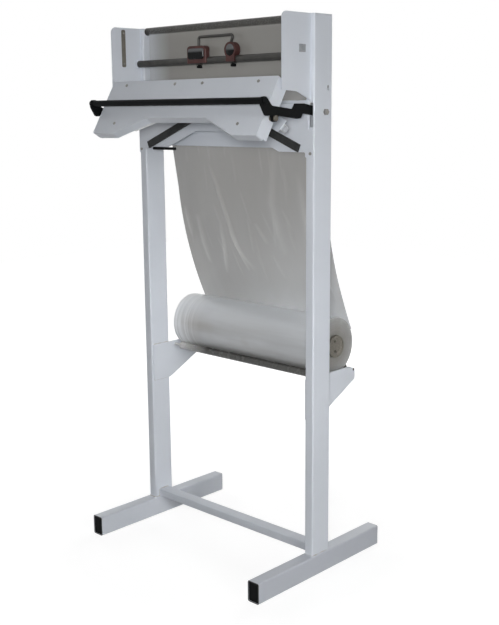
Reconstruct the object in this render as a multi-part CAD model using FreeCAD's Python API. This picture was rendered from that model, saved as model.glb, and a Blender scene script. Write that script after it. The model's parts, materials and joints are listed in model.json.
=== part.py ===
import FreeCAD
import Part
import math
import os

os.makedirs("parts", exist_ok=True)
V = FreeCAD.Vector

# Stand: X runs across, -Y is the side where the operator stands, Z is up from the floor
STAND_HEIGHT = 1933.0
POST_WIDTH = 36.0
POST_DEPTH = 92.0
POST_WALL = 2.0
POST_ROUND = 5.0
POST_CAP_THICK = 2.0
POST_CAP_PLUG = 12.0
FOOT_LENGTH = 666.0
FOOT_WIDTH = 50.0
FOOT_HEIGHT = 75.0
FOOT_WALL = 3.0
FOOT_ROUND = 6.0
FOOT_CAP_DEPTH = 14.0
FOOT_CAP_RECESS = 1.5
VENT_Y = 25.0
VENT_DROP = 233.0
VENT_WIDTH = 7.0
VENT_HEIGHT = 18.0
CROSSBAR_DEPTH = 50.0
CROSSBAR_HEIGHT = 30.0
CROSSBAR_WALL = 2.0
CROSSBAR_ROUND = 4.0

# Film roll and its cradle
ROLL_BACK = 152.0
ROLL_HEIGHT = 796.0
ROLL_RADIUS = 106.7
ROLL_CORE_RADIUS = 41.0
ROLL_CORE_WALL = 3.0
FILM_WIDTH = 744.0
FILM_SIDE_ROOM = 28.0
CORE_OVERHANG = 8.0
ROLLER_RADIUS = 14.0
ROLLER_SPREAD = 75.0
ROLLER_END_GAP = 38.0
ROLL_REST_GAP = 0.3
JOURNAL_RADIUS = 5.0
RUNNING_CLEARANCE = 0.05
JOURNAL_END_GAP = 0.5
BRACKET_THICK = 5.0
BRACKET_FRONT_INSET = 6.0
BRACKET_TOP_MARGIN = 15.0
BRACKET_DROP = 146.0
BRACKET_TIP_HEIGHT = 50.0
BRACKET_TIP_REACH = 6.5

# Film web: thin sheet from the roll, over the guide bar, with its end hanging in the head
FILM_THICK = 1.0
FILM_LEAVES_AT = 26.0
FILM_BEND_RISE = 496.0
FILM_BEND_BACK = 104.0
FILM_BOW = 25.0
FILM_END_DROP = 206.0
FILM_GAP = 0.3

# Head: cheek plates, guide bar and hook rail
CHEEK_THICK = 3.0
CHEEK_REACH = 139.0
CHEEK_FRONT_HEIGHT = 241.0
CHEEK_REAR_HEIGHT = 273.0
CHEEK_BEND_INSET = 66.0
CHEEK_CORNER = 22.0
CHEEK_GUIDE_WIDTH = 16.0
CHEEK_GUIDE_LENGTH = 134.0
CHEEK_GUIDE_THICK = 4.0
CHEEK_GUIDE_INSET = 47.0
CHEEK_GUIDE_TOP = 8.0
GUIDE_BAR_RADIUS = 14.0
GUIDE_BAR_WALL = 2.0
GUIDE_BAR_Y = -25.0
GUIDE_BAR_PROUD = 3.0
RAIL_RADIUS = 12.5
RAIL_WALL = 2.5
RAIL_FORWARD = 16.0
RAIL_DROP = 130.0
SOCKET_WALL = 3.0
SOCKET_LENGTH = 10.0

# Jaw hinge: the jaw is drawn closed, with its seal plane upright, and swung open about this axis
PIVOT_Y = 11.0
PIVOT_DROP = 311.0
OPEN_ANGLE = 33.3
PIVOT_RADIUS = 6.0
PIVOT_HEAD_ACROSS = 19.0
PIVOT_HEAD_HEIGHT = 7.5
PIVOT_NUT_HEIGHT = 10.0
SPACER_RADIUS = 11.0
SPACER_END_GAP = 0.15
BUSH_RADIUS = 9.0

# Fixed jaw: plate on the posts' front faces, with sloping silicone strips
JAW_PLATE_THICK = 3.0
JAW_PLATE_TOP = 38.0
JAW_PLATE_NOTCH_TOP = 14.0
JAW_PLATE_NOTCH = 175.0
JAW_PLATE_ARM_GAP = 6.0
JAW_EAR_INSET = 2.0
JAW_EAR_TOP = -56.0
JAW_EAR_BOTTOM = -148.0
JAW_WING_BOTTOM = -130.0
JAW_PLATE_FLAT = 120.0
JAW_PLATE_SKIRT = 46.0
STRIP_THICK = 11.0
STRIP_WIDTH = 26.0
STRIP_EDGE = 4.0
SEAL_SLOPE = 21.9
SEAL_END_INSET = 24.0
SEAL_DROP = 117.5
SEAL_LENGTH = 285.0
SEAL_GAP = 0.4
CROSS_PLATE_THICK = 3.0
CROSS_PLATE_TOP = -36.0
CROSS_PLATE_BOTTOM = -120.0
EDGE_STRIP_LENGTH = 124.0
EDGE_STRIP_INSET = 49.0
EDGE_STRIP_HEIGHT = 10.0
EDGE_STRIP_THICK = 6.0

# Moving jaw: heat bars on a carrier plate, carried by a crossbar between the arms
TAPE_THICK = 0.4
TAPE_WIDTH = 20.0
BAND_THICK = 0.6
BAND_WIDTH = 6.0
HEAT_BAR_THICK = 23.6
HEAT_BAR_WIDTH = 22.0
TERMINAL_LENGTH = 7.0
CARRIER_THICK = 3.0
CARRIER_WIDTH = 46.0
CARRIER_FLAT = 80.0
CARRIER_TOP = 10.0
JAW_BAR_SIZE = 30.0
JAW_BAR_WALL = 2.0
JAW_BAR_ROUND = 3.0
JAW_BAR_DROP = 67.0

# Arms and handle bar
ARM_THICK = 8.0
ARM_SLOT_CLEARANCE = 4.0
ARM_SLOT_TOP = 30.0
ARM_SLOT_BOTTOM = -50.0
BAR_RADIUS = 11.0
BAR_WALL = 2.5
BAR_REACH = 286.0
BAR_RISE = 36.0
BAR_OVERHANG = 4.0
BAR_CAP_LENGTH = 5.0
BAR_CAP_PLUG = 12.0
ARM_EYE = 13.0

# Hood: sheet pan over the moving jaw, with an arched lower edge
HOOD_REACH = 225.6
HOOD_TOP_DROP = 11.8
HOOD_LENGTH = 214.0
HOOD_LEAN = 2.5
HOOD_DEPTH = 34.0
HOOD_SIDE_DEPTH = 50.0
HOOD_SHEET = 2.0
HOOD_SIDE_GAP = 10.0
HOOD_CORNER = 6.0
ARCH_RISE = 63.0
ARCH_FLAT = 150.0
ARCH_FOOT = 300.0
ARCH_ROUND = 20.0
HOOD_TOP_SCREWS = (68.0, 327.0)
HOOD_TOP_SCREW_DROP = 18.0
HOOD_LOBE_SCREW = 308.0
HOOD_LOBE_SCREW_DROP = 173.0
STAY_WIDTH = 30.0
STAY_THICK = 3.0
STAY_LIP = 28.0
HOOD_BOLT_DEPTH = 38.0
HOOD_BOLT_DROP = 133.0
HOOD_BOLT_RADIUS = 4.0
HOOD_BOLT_HEAD_RADIUS = 9.5
HOOD_BOLT_HEAD = 5.0
HOOD_SPACER_RADIUS = 9.0
LUG_RADIUS = 11.0

# Screws
SCREW_RADIUS = 2.5
SCREW_HEAD_RADIUS = 5.5
SCREW_HEAD_HEIGHT = 3.0
JAW_SCREW_INSET = (7.0, 22.0)
JAW_SCREW_RISE = (18.0, -134.0)

# Return springs, inside the posts
SPRING_Y = -34.0
SPRING_RADIUS = 6.5
SPRING_WIRE = 2.0
SPRING_PIN_RADIUS = 2.5
SPRING_PIN_RISE = 10.0
SPRING_SPAN = 168.0
SPRING_SIDE_GAP = 8.0
SPRING_EYE_RADIUS = 4.5
SPRING_EYE_WIDTH = 3.0
SPRING_HOOK_LENGTH = 12.0

# Hanger carriage on the hook rail
BLOCK_X = -81.0
BLOCK_WIDTH = 98.0
BLOCK_RISE = 51.0
BLOCK_ROUND = 20.0
BLOCK_FOOT_ROUND = 6.0
BLOCK_SIDE_ROUND = 7.0
BOSS_X = 87.0
BOSS_RADIUS = 27.0
BOSS_RISE = 30.0
BOSS_NECK = 40.0
CARRIAGE_DEPTH = 24.0
CARRIAGE_FORWARD = 5.5
CARRIAGE_DROP = 9.0
FACE_THICK = 4.0
FACE_EDGE = 2.5
FACE_MARGIN = 9.0
FACE_RISE = 5.0
BOSS_FACE_RADIUS = 20.0
STRAP_WIDTH = 18.0
STRAP_THICK = 2.5
THUMB_RADIUS = 10.0
THUMB_LENGTH = 10.0
BAIL_RADIUS = 5.0
BAIL_RISE = 82.0
BAIL_BEND = 9.0
BAIL_LEFT_X = -83.0
BAIL_RIGHT_X = 90.0
BAIL_FOOT_X = 68.0

# Rocker switch on the right cheek
SWITCH_Y = -88.0
SWITCH_RISE = 201.0
SWITCH_LENGTH = 26.0
SWITCH_HEIGHT = 20.0
SWITCH_BODY_DEPTH = 24.0
BEZEL_MARGIN = 2.5
BEZEL_THICK = 2.0
ROCKER_MARGIN = 3.0
ROCKER_GAP = 0.4
ROCKER_END_GAP = 2.6
ROCKER_DEPTH = 7.0
ROCKER_PIN_RADIUS = 1.5
ROCKER_TILT = 8.0

# Electrics inside the right post
TRANSFORMER_RISE = 78.0
TRANSFORMER_DEPTH = 60.0
TRANSFORMER_HEIGHT = 66.0
TRANSFORMER_Y = 12.0
CORE_LEG = 12.0
BOARD_RISE = 178.0
BOARD_HEIGHT = 90.0
BOARD_WIDTH = 56.0
BOARD_THICK = 1.6
BOARD_STANDOFF = 4.0
SENSOR_Y = -28.0
SENSOR_RADIUS = 6.0
SENSOR_LENGTH = 50.0
SENSOR_BRACKET_THICK = 3.0
SENSOR_BRACKET_WIDTH = 24.0
SENSOR_ARM_GAP = 12.0
INLET_Z = 420.0
INLET_FLANGE = (24.0, 50.0)
INLET_BODY = (20.0, 28.0)
INLET_DEPTH = 24.0
INLET_FLANGE_THICK = 3.0

# Places worked out from the sizes above
INNER = FILM_WIDTH / 2 + FILM_SIDE_ROOM
OUTER = INNER + POST_WIDTH
MID = INNER + POST_WIDTH / 2
FRONT = -POST_DEPTH / 2
REAR = POST_DEPTH / 2
PIVOT_Z = STAND_HEIGHT - PIVOT_DROP
RAIL_Y = FRONT - RAIL_FORWARD
RAIL_Z = STAND_HEIGHT - RAIL_DROP
GUIDE_BAR_Z = STAND_HEIGHT - GUIDE_BAR_RADIUS + GUIDE_BAR_PROUD
CHEEK_X = (MID - CHEEK_THICK / 2, MID + CHEEK_THICK / 2)
CHEEK_FRONT = FRONT - CHEEK_REACH
CHEEK_BOTTOM_FRONT = STAND_HEIGHT - CHEEK_FRONT_HEIGHT
CHEEK_BOTTOM_REAR = STAND_HEIGHT - CHEEK_REAR_HEIGHT
ARM_X = (MID, MID + ARM_THICK)
JAW_PLATE_SIDE = ARM_X[0] - JAW_PLATE_ARM_GAP
JAW_EAR_SIDE = OUTER - JAW_EAR_INSET
JAW_PLATE_Y = (FRONT - JAW_PLATE_THICK, FRONT)
STRIP_Y = (JAW_PLATE_Y[0] - STRIP_THICK, JAW_PLATE_Y[0])
TAPE_Y = (STRIP_Y[0] - SEAL_GAP - TAPE_THICK, STRIP_Y[0] - SEAL_GAP)
BAND_Y = (TAPE_Y[0] - BAND_THICK, TAPE_Y[0])
HEAT_BAR_Y = (BAND_Y[0] - HEAT_BAR_THICK, BAND_Y[0])
CARRIER_Y = (HEAT_BAR_Y[0] - CARRIER_THICK, HEAT_BAR_Y[0])
JAW_BAR_Y = (CARRIER_Y[0] - JAW_BAR_SIZE, CARRIER_Y[0])
JAW_BAR_Z = (PIVOT_Z - JAW_BAR_DROP - JAW_BAR_SIZE / 2, PIVOT_Z - JAW_BAR_DROP + JAW_BAR_SIZE / 2)
HOOD_FACE_Y = PIVOT_Y - HOOD_REACH
HOOD_TOP_Z = PIVOT_Z - HOOD_TOP_DROP
HOOD_BOTTOM_Z = HOOD_TOP_Z - HOOD_LENGTH
HOOD_SIDE = MID - HOOD_SIDE_GAP
HOOD_INSIDE_Y = HOOD_FACE_Y + HOOD_SHEET
SEAL_REACH = INNER - SEAL_END_INSET
SEAL_Z = PIVOT_Z - SEAL_DROP
SLOPE = math.radians(SEAL_SLOPE)
ROLLER_RISE = math.sqrt((ROLL_RADIUS + ROLL_REST_GAP + ROLLER_RADIUS) ** 2 - ROLLER_SPREAD ** 2)
ROLLER_Z = ROLL_HEIGHT - ROLLER_RISE


# Shape helpers
def rect(u, v, radius=0.0):
    return [(u[0], v[0], radius), (u[1], v[0], radius), (u[1], v[1], radius), (u[0], v[1], radius)]


def outline(corners, place):
    """Face inside straight runs between corners (u, v, radius), each corner rounded by its radius."""
    flat = [V(u, v, 0) for u, v, radius in corners]
    stops = []
    for i, (u, v, radius) in enumerate(corners):
        here = flat[i]
        if radius == 0:
            stops.append((here, None, here))
            continue
        back = (flat[i - 1] - here).normalize()
        ahead = (flat[(i + 1) % len(flat)] - here).normalize()
        half = back.getAngle(ahead) / 2
        inward = V(back + ahead).normalize()
        middle = here + inward * (radius / math.sin(half) - radius)
        reach = radius / math.tan(half)
        stops.append((here + back * reach, middle, here + ahead * reach))
    edges = []
    for i, (start, middle, end) in enumerate(stops):
        if middle is not None:
            points = [place(p.x, p.y) for p in (start, middle, end)]
            edges.append(Part.Arc(*points).toShape())
        follow = stops[(i + 1) % len(stops)][0]
        if end.distanceToPoint(follow) > 1e-6:
            edges.append(Part.LineSegment(place(end.x, end.y), place(follow.x, follow.y)).toShape())
    return Part.Face(Part.Wire(edges))


def plate_yz(corners, x):
    return outline(corners, lambda y, z: V(x[0], y, z)).extrude(V(x[1] - x[0], 0, 0))


def plate_xz(corners, y):
    return outline(corners, lambda x, z: V(x, y[0], z)).extrude(V(0, y[1] - y[0], 0))


def plate_xy(corners, z):
    return outline(corners, lambda x, y: V(x, y, z[0])).extrude(V(0, 0, z[1] - z[0]))


def box(x, y, z):
    return plate_xy(rect(x, y), z)


def rod_x(x, y, z, radius):
    return Part.makeCylinder(radius, x[1] - x[0], V(x[0], y, z), V(1, 0, 0))


def rod_y(y, x, z, radius):
    return Part.makeCylinder(radius, y[1] - y[0], V(x, y[0], z), V(0, 1, 0))


def rod_z(z, x, y, radius):
    return Part.makeCylinder(radius, z[1] - z[0], V(x, y, z[0]), V(0, 0, 1))


def mirrored(shape):
    return shape.mirror(V(0, 0, 0), V(1, 0, 0))


def both_sides(shape):
    return [shape, mirrored(shape)]


def inset(span, amount):
    return (span[0] + amount, span[1] - amount)


def about(middle, size):
    return (middle - size / 2, middle + size / 2)


def opened(shape):
    """A moving piece drawn in the closed position, swung to the open one."""
    return shape.rotate(V(0, PIVOT_Y, PIVOT_Z), V(1, 0, 0), -OPEN_ANGLE)


def opened_point(y, z):
    turn = math.radians(-OPEN_ANGLE)
    reach, rise = y - PIVOT_Y, z - PIVOT_Z
    return (PIVOT_Y + reach * math.cos(turn) - rise * math.sin(turn),
            PIVOT_Z + reach * math.sin(turn) + rise * math.cos(turn))


def hexagon_x(x, y, z, across):
    corner = across / math.sqrt(3)
    angles = [math.radians(60 * i) for i in range(6)]
    return plate_yz([(y + corner * math.cos(a), z + corner * math.sin(a), 0) for a in angles], x)


def screw_y(x, face_y, z, length):
    """Plain-headed screw driven towards +Y into a face that looks towards -Y."""
    head = rod_y((face_y - SCREW_HEAD_HEIGHT, face_y), x, z, SCREW_HEAD_RADIUS)
    return head.fuse(rod_y((face_y, face_y + length), x, z, SCREW_RADIUS)).removeSplitter()


def save(node, *shapes):
    shape = shapes[0] if len(shapes) == 1 else Part.makeCompound(list(shapes))
    shape.exportStep(f"parts/{node}.step")


def save_sides(node, right):
    save(f"right_{node}", right)
    save(f"left_{node}", mirrored(right))


# Feet: rectangular tubes, front to back, closed by recessed caps
foot_x = about(MID, FOOT_WIDTH)
foot_y = about(0, FOOT_LENGTH)
foot_bore = rect(inset(foot_x, FOOT_WALL), (FOOT_WALL, FOOT_HEIGHT - FOOT_WALL), FOOT_ROUND - FOOT_WALL)
foot = plate_xz(rect(foot_x, (0, FOOT_HEIGHT), FOOT_ROUND), foot_y).cut(plate_xz(foot_bore, foot_y))
save_sides("foot", foot)

foot_caps = []
for end in (-1, 1):
    outer_face = end * (FOOT_LENGTH / 2 - FOOT_CAP_RECESS)
    cap_y = sorted((outer_face, outer_face - end * FOOT_CAP_DEPTH))
    foot_caps += both_sides(plate_xz(foot_bore, cap_y))
save("foot_caps", *foot_caps)

# Posts: folded tubes with a slot for the arm and holes for its hinge bolt
post_top = STAND_HEIGHT - POST_CAP_THICK
post_section = rect((INNER, OUTER), (FRONT, REAR), POST_ROUND)
bore_x = inset((INNER, OUTER), POST_WALL)
bore_y = inset((FRONT, REAR), POST_WALL)
post_bore = rect(bore_x, bore_y, POST_ROUND - POST_WALL)
post_z = (FOOT_HEIGHT, post_top)
post = plate_xy(post_section, post_z).cut(plate_xy(post_bore, post_z))
slot_x = (ARM_X[0] - ARM_SLOT_CLEARANCE / 2, ARM_X[1] + ARM_SLOT_CLEARANCE)
slot_z = (PIVOT_Z + ARM_SLOT_BOTTOM, PIVOT_Z + ARM_SLOT_TOP)
wall_reach = POST_WALL + POST_ROUND
post = post.cut(plate_xz(rect(slot_x, slot_z, ARM_SLOT_CLEARANCE), (FRONT - 1, FRONT + wall_reach)))
post = post.cut(rod_x((INNER - 1, OUTER + 1), PIVOT_Y, PIVOT_Z, PIVOT_RADIUS))
jaw_screw_places = [(INNER + x, PIVOT_Z + rise) for x, rise in zip(JAW_SCREW_INSET, JAW_SCREW_RISE)]
for x, z in jaw_screw_places:
    post = post.cut(rod_y((FRONT - 1, FRONT + wall_reach), x, z, SCREW_RADIUS))
left_post = mirrored(post)
inlet_hole = rect(about(MID, INLET_BODY[0]), about(INLET_Z, INLET_BODY[1]), 2.0)
post = post.cut(plate_xz(inlet_hole, (REAR - wall_reach, REAR + 1)))
vent_z = about(STAND_HEIGHT - VENT_DROP, VENT_HEIGHT)
vent = rect(about(VENT_Y, VENT_WIDTH), vent_z, VENT_WIDTH * 0.45)
post = post.cut(plate_yz(vent, (OUTER - wall_reach, OUTER + 1)))
save("right_post", post)
save("left_post", left_post)

cap = plate_xy(post_section, (post_top, STAND_HEIGHT))
cap = cap.fuse(plate_xy(post_bore, (post_top - POST_CAP_PLUG, post_top))).removeSplitter()
save("post_caps", *both_sides(cap))

# Base crossbar: flat tube between the posts, lying on the feet
crossbar_y = about(0, CROSSBAR_DEPTH)
crossbar_z = (FOOT_HEIGHT, FOOT_HEIGHT + CROSSBAR_HEIGHT)
crossbar_section = rect(crossbar_y, crossbar_z, CROSSBAR_ROUND)
bore_round = CROSSBAR_ROUND - CROSSBAR_WALL
crossbar_bore = rect(inset(crossbar_y, CROSSBAR_WALL), inset(crossbar_z, CROSSBAR_WALL), bore_round)
crossbar = plate_yz(crossbar_section, (-INNER, INNER)).cut(plate_yz(crossbar_bore, (-INNER, INNER)))
save("base_crossbar", crossbar)

# Roll cradle: two brackets on the posts' inner faces carry two free rollers
roller_places = (ROLL_BACK - ROLLER_SPREAD, ROLL_BACK + ROLLER_SPREAD)
bracket_x = (INNER - BRACKET_THICK, INNER)
bracket_top = ROLLER_Z + BRACKET_TOP_MARGIN
bracket_front = FRONT + BRACKET_FRONT_INSET
bracket_tip = roller_places[1] + BRACKET_TIP_REACH
bracket = plate_yz([
    (bracket_front, bracket_top - BRACKET_DROP, 4),
    (REAR, bracket_top - BRACKET_DROP, 20),
    (bracket_tip, bracket_top - BRACKET_TIP_HEIGHT, 10),
    (bracket_tip, bracket_top - BRACKET_TOP_MARGIN, 14),
    (bracket_tip - 2 * BRACKET_TOP_MARGIN, bracket_top, 14),
    (bracket_front, bracket_top, 4),
], bracket_x)
for y in roller_places:
    journal_hole = rod_x(bracket_x, y, ROLLER_Z, JOURNAL_RADIUS + RUNNING_CLEARANCE)
    bracket = bracket.cut(journal_hole)
save_sides("roll_bracket", bracket)

roller_half = bracket_x[0] - ROLLER_END_GAP
for node, y in zip(("front_roller", "rear_roller"), roller_places):
    sleeve = rod_x((-roller_half, roller_half), y, ROLLER_Z, ROLLER_RADIUS)
    journal = rod_x(inset((-INNER, INNER), JOURNAL_END_GAP), y, ROLLER_Z, JOURNAL_RADIUS)
    save(node, sleeve.fuse(journal).removeSplitter())

film_x = about(0, FILM_WIDTH)
core_x = (film_x[0] - CORE_OVERHANG, film_x[1] + CORE_OVERHANG)
core = rod_x(core_x, ROLL_BACK, ROLL_HEIGHT, ROLL_CORE_RADIUS)
core_bore = rod_x(core_x, ROLL_BACK, ROLL_HEIGHT, ROLL_CORE_RADIUS - ROLL_CORE_WALL)
save("roll_core", core.cut(core_bore))
wound = rod_x(film_x, ROLL_BACK, ROLL_HEIGHT, ROLL_RADIUS)
save("roll_film", wound.cut(rod_x(film_x, ROLL_BACK, ROLL_HEIGHT, ROLL_CORE_RADIUS)))

# Film web: leaves the roll at its back, bows up to the posts, turns over the guide bar and ends in the head
film_radius = ROLL_RADIUS + FILM_GAP
leave = math.radians(FILM_LEAVES_AT)
leave_y = ROLL_BACK + film_radius * math.cos(leave)
leave_z = ROLL_HEIGHT + film_radius * math.sin(leave)
turn_radius = GUIDE_BAR_RADIUS + FILM_GAP
turn_rear_y = GUIDE_BAR_Y + turn_radius
turn_front_y = GUIDE_BAR_Y - turn_radius
bend_z = leave_z + FILM_BEND_RISE
chord_lean = math.atan2(leave_y - turn_rear_y, GUIDE_BAR_Z - leave_z)


def film_face(offset):
    """Points of the web's path, moved out from the roll and the guide bar by offset."""
    out = offset / math.cos(chord_lean)
    start = V(0, leave_y + offset * math.cos(leave), leave_z + offset * math.sin(leave))
    bend = V(0, turn_rear_y + FILM_BEND_BACK + out, bend_z)
    middle = (start + bend) * 0.5 - V(0, FILM_BOW, 0)
    top_rear = V(0, turn_rear_y + out, GUIDE_BAR_Z)
    top = V(0, GUIDE_BAR_Y, GUIDE_BAR_Z + turn_radius + offset)
    top_front = V(0, turn_front_y - offset, GUIDE_BAR_Z)
    end = V(0, turn_front_y - offset, GUIDE_BAR_Z - FILM_END_DROP)
    return [start, middle, bend, top_rear, top, top_front, end]


def film_edges(points):
    start, middle, bend, top_rear, top, top_front, end = points
    return [
        Part.Arc(start, middle, bend).toShape(),
        Part.LineSegment(bend, top_rear).toShape(),
        Part.Arc(top_rear, top, top_front).toShape(),
        Part.LineSegment(top_front, end).toShape(),
    ]


film_inner = film_face(0.0)
film_outer = film_face(FILM_THICK)
film_loop = film_edges(film_inner)
film_loop.append(Part.LineSegment(film_inner[-1], film_outer[-1]).toShape())
film_loop += reversed(film_edges(film_outer))
film_loop.append(Part.LineSegment(film_outer[0], film_inner[0]).toShape())
film_profile = Part.Face(Part.Wire(Part.__sortEdges__(film_loop)))
film_web = film_profile.extrude(V(FILM_WIDTH, 0, 0))
film_web.translate(V(film_x[0], 0, 0))
save("film_web", film_web)

# Cheeks: thin plates on the middle of the posts' front faces
cheek = plate_yz([
    (FRONT, CHEEK_BOTTOM_REAR, 0),
    (FRONT, STAND_HEIGHT, 0),
    (CHEEK_FRONT, STAND_HEIGHT, CHEEK_CORNER),
    (CHEEK_FRONT, CHEEK_BOTTOM_FRONT, 4),
    (FRONT - CHEEK_BEND_INSET, CHEEK_BOTTOM_FRONT - 4, 25),
], CHEEK_X)
save("left_cheek", mirrored(cheek))
switch_z = about(PIVOT_Z + SWITCH_RISE, SWITCH_HEIGHT)
switch_y = about(SWITCH_Y, SWITCH_LENGTH)
switch_hole = plate_yz(rect(switch_y, switch_z, 1.0), (CHEEK_X[0] - 1, CHEEK_X[1] + 1))
save("right_cheek", cheek.cut(switch_hole))

guide_y = about(CHEEK_FRONT + CHEEK_GUIDE_INSET + CHEEK_GUIDE_WIDTH / 2, CHEEK_GUIDE_WIDTH)
guide_top = STAND_HEIGHT - CHEEK_GUIDE_TOP
guide = plate_yz(rect(guide_y, (guide_top - CHEEK_GUIDE_LENGTH, guide_top), CHEEK_GUIDE_WIDTH / 3),
                 (CHEEK_X[0] - CHEEK_GUIDE_THICK, CHEEK_X[0]))
save("cheek_guides", *both_sides(guide))

# Guide bar between the posts and hook rail between the cheeks
guide_bar_x = (-INNER, INNER)
guide_bar = rod_x(guide_bar_x, GUIDE_BAR_Y, GUIDE_BAR_Z, GUIDE_BAR_RADIUS)
guide_bar_bore = rod_x(guide_bar_x, GUIDE_BAR_Y, GUIDE_BAR_Z, GUIDE_BAR_RADIUS - GUIDE_BAR_WALL)
save("top_guide_bar", guide_bar.cut(guide_bar_bore))
rail_x = (-CHEEK_X[0], CHEEK_X[0])
rail = rod_x(rail_x, RAIL_Y, RAIL_Z, RAIL_RADIUS)
save("hook_rail", rail.cut(rod_x(rail_x, RAIL_Y, RAIL_Z, RAIL_RADIUS - RAIL_WALL)))
socket_x = (CHEEK_X[0] - SOCKET_LENGTH, CHEEK_X[0])
socket = rod_x(socket_x, RAIL_Y, RAIL_Z, RAIL_RADIUS + SOCKET_WALL)
socket = socket.cut(rod_x(socket_x, RAIL_Y, RAIL_Z, RAIL_RADIUS + RUNNING_CLEARANCE))
save("rail_sockets", *both_sides(socket))


# Seal line: both jaws follow a line that climbs from each side towards the middle
def seal_height(x, offset=0.0):
    return SEAL_Z + (SEAL_REACH - x) * math.tan(SLOPE) + offset / math.cos(SLOPE)


def seal_x(z, offset=0.0):
    return SEAL_REACH - (z - SEAL_Z - offset / math.cos(SLOPE)) / math.tan(SLOPE)


def along_seal(width, y, start=0.0, end=SEAL_LENGTH, radius=0.0):
    """Straight bar on the right half of the seal line, measured from its outer end."""
    corners = []
    for reach, side in ((start, -1), (start, 1), (end, 1), (end, -1)):
        x = SEAL_REACH - reach * math.cos(SLOPE) + side * width / 2 * math.sin(SLOPE)
        z = SEAL_Z + reach * math.sin(SLOPE) + side * width / 2 * math.cos(SLOPE)
        corners.append((x, z, radius))
    return plate_xz(corners, y)


def symmetric(right_half):
    return right_half + [(-x, z, radius) for x, z, radius in reversed(right_half)]


# Fixed jaw plate: screwed on the posts, with an arched lower edge that follows the seal line
wing_z = PIVOT_Z + JAW_WING_BOTTOM
ear_top = PIVOT_Z + JAW_EAR_TOP
ear_bottom = PIVOT_Z + JAW_EAR_BOTTOM
plate_top = PIVOT_Z + JAW_PLATE_TOP
notch_top = PIVOT_Z + JAW_PLATE_NOTCH_TOP
jaw_plate = plate_xz(symmetric([
    (JAW_PLATE_FLAT, seal_height(JAW_PLATE_FLAT, -JAW_PLATE_SKIRT), 20),
    (seal_x(wing_z, -JAW_PLATE_SKIRT), wing_z, 20),
    (INNER, wing_z, 6),
    (INNER, ear_bottom, 6),
    (JAW_EAR_SIDE, ear_bottom, 6),
    (JAW_EAR_SIDE, ear_top, 6),
    (JAW_PLATE_SIDE, ear_top, 3),
    (JAW_PLATE_SIDE, plate_top, 6),
    (JAW_PLATE_NOTCH + plate_top - notch_top, plate_top, 10),
    (JAW_PLATE_NOTCH, notch_top, 10),
]), JAW_PLATE_Y)
jaw_screws = []
for x, z in jaw_screw_places:
    for side in (-1, 1):
        jaw_plate = jaw_plate.cut(rod_y(JAW_PLATE_Y, side * x, z, SCREW_RADIUS))
        jaw_screws.append(screw_y(side * x, JAW_PLATE_Y[0], z, JAW_PLATE_THICK + POST_WALL))
save("rear_jaw_plate", jaw_plate)
save("jaw_plate_screws", *jaw_screws)

# Cross plate: a flat steel strip welded between the posts, behind the fixed jaw
cross_plate_z = (PIVOT_Z + CROSS_PLATE_BOTTOM, PIVOT_Z + CROSS_PLATE_TOP)
save("cross_plate", plate_xz(rect((-INNER, INNER), cross_plate_z, 2), about(0, CROSS_PLATE_THICK)))

# Silicone strips along the seal lines, and a black strip on the plate's lower left edge
strip = along_seal(STRIP_WIDTH, STRIP_Y)
front_edges = [edge for edge in strip.Edges if edge.BoundBox.YMax < STRIP_Y[0] + 1e-3]
strip = strip.makeFillet(STRIP_EDGE, front_edges)
save("silicone_strips", *both_sides(strip))

edge_strip_start = -INNER + EDGE_STRIP_INSET
edge_strip_x = (edge_strip_start, edge_strip_start + EDGE_STRIP_LENGTH)
edge_strip_z = (wing_z - EDGE_STRIP_HEIGHT / 2, wing_z + EDGE_STRIP_HEIGHT / 2)
edge_strip_y = (JAW_PLATE_Y[0] - EDGE_STRIP_THICK, JAW_PLATE_Y[0])
save("edge_strip", plate_xz(rect(edge_strip_x, edge_strip_z, 3), edge_strip_y))

# Moving jaw: heat bars with their bands and release tapes, on a carrier plate and a crossbar
save("heat_bars", *both_sides(opened(along_seal(HEAT_BAR_WIDTH, HEAT_BAR_Y))))
save("heating_bands", *both_sides(opened(along_seal(BAND_WIDTH, BAND_Y))))
save("release_tapes", *both_sides(opened(along_seal(TAPE_WIDTH, TAPE_Y))))
terminals = []
for start in (-TERMINAL_LENGTH, SEAL_LENGTH):
    block = along_seal(HEAT_BAR_WIDTH - 4, inset(HEAT_BAR_Y, 3), start, start + TERMINAL_LENGTH)
    terminals += both_sides(opened(block))
save("band_terminals", *terminals)

carrier_edge = CARRIER_WIDTH / 2
carrier_top = PIVOT_Z + CARRIER_TOP
outer_low = (SEAL_REACH - carrier_edge * math.sin(SLOPE), SEAL_Z - carrier_edge * math.cos(SLOPE))
outer_high = (SEAL_REACH + carrier_edge * math.sin(SLOPE), SEAL_Z + carrier_edge * math.cos(SLOPE))
carrier = plate_xz(symmetric([
    (CARRIER_FLAT, seal_height(CARRIER_FLAT, -carrier_edge), 15),
    (outer_low[0], outer_low[1], 5),
    (outer_high[0], outer_high[1], 5),
    (seal_x(carrier_top, carrier_edge), carrier_top, 15),
]), CARRIER_Y)
save("jaw_carrier", opened(carrier))

jaw_bar_x = (-ARM_X[0], ARM_X[0])
jaw_bar = plate_yz(rect(JAW_BAR_Y, JAW_BAR_Z, JAW_BAR_ROUND), jaw_bar_x)
jaw_bar_bore_round = JAW_BAR_ROUND - JAW_BAR_WALL
jaw_bar_bore = rect(inset(JAW_BAR_Y, JAW_BAR_WALL), inset(JAW_BAR_Z, JAW_BAR_WALL), jaw_bar_bore_round)
save("jaw_crossbar", opened(jaw_bar.cut(plate_yz(jaw_bar_bore, jaw_bar_x))))

# Hood: sheet pan, drawn closed with its face upright, open towards the jaws
arch_top = HOOD_BOTTOM_Z + ARCH_RISE


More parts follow.
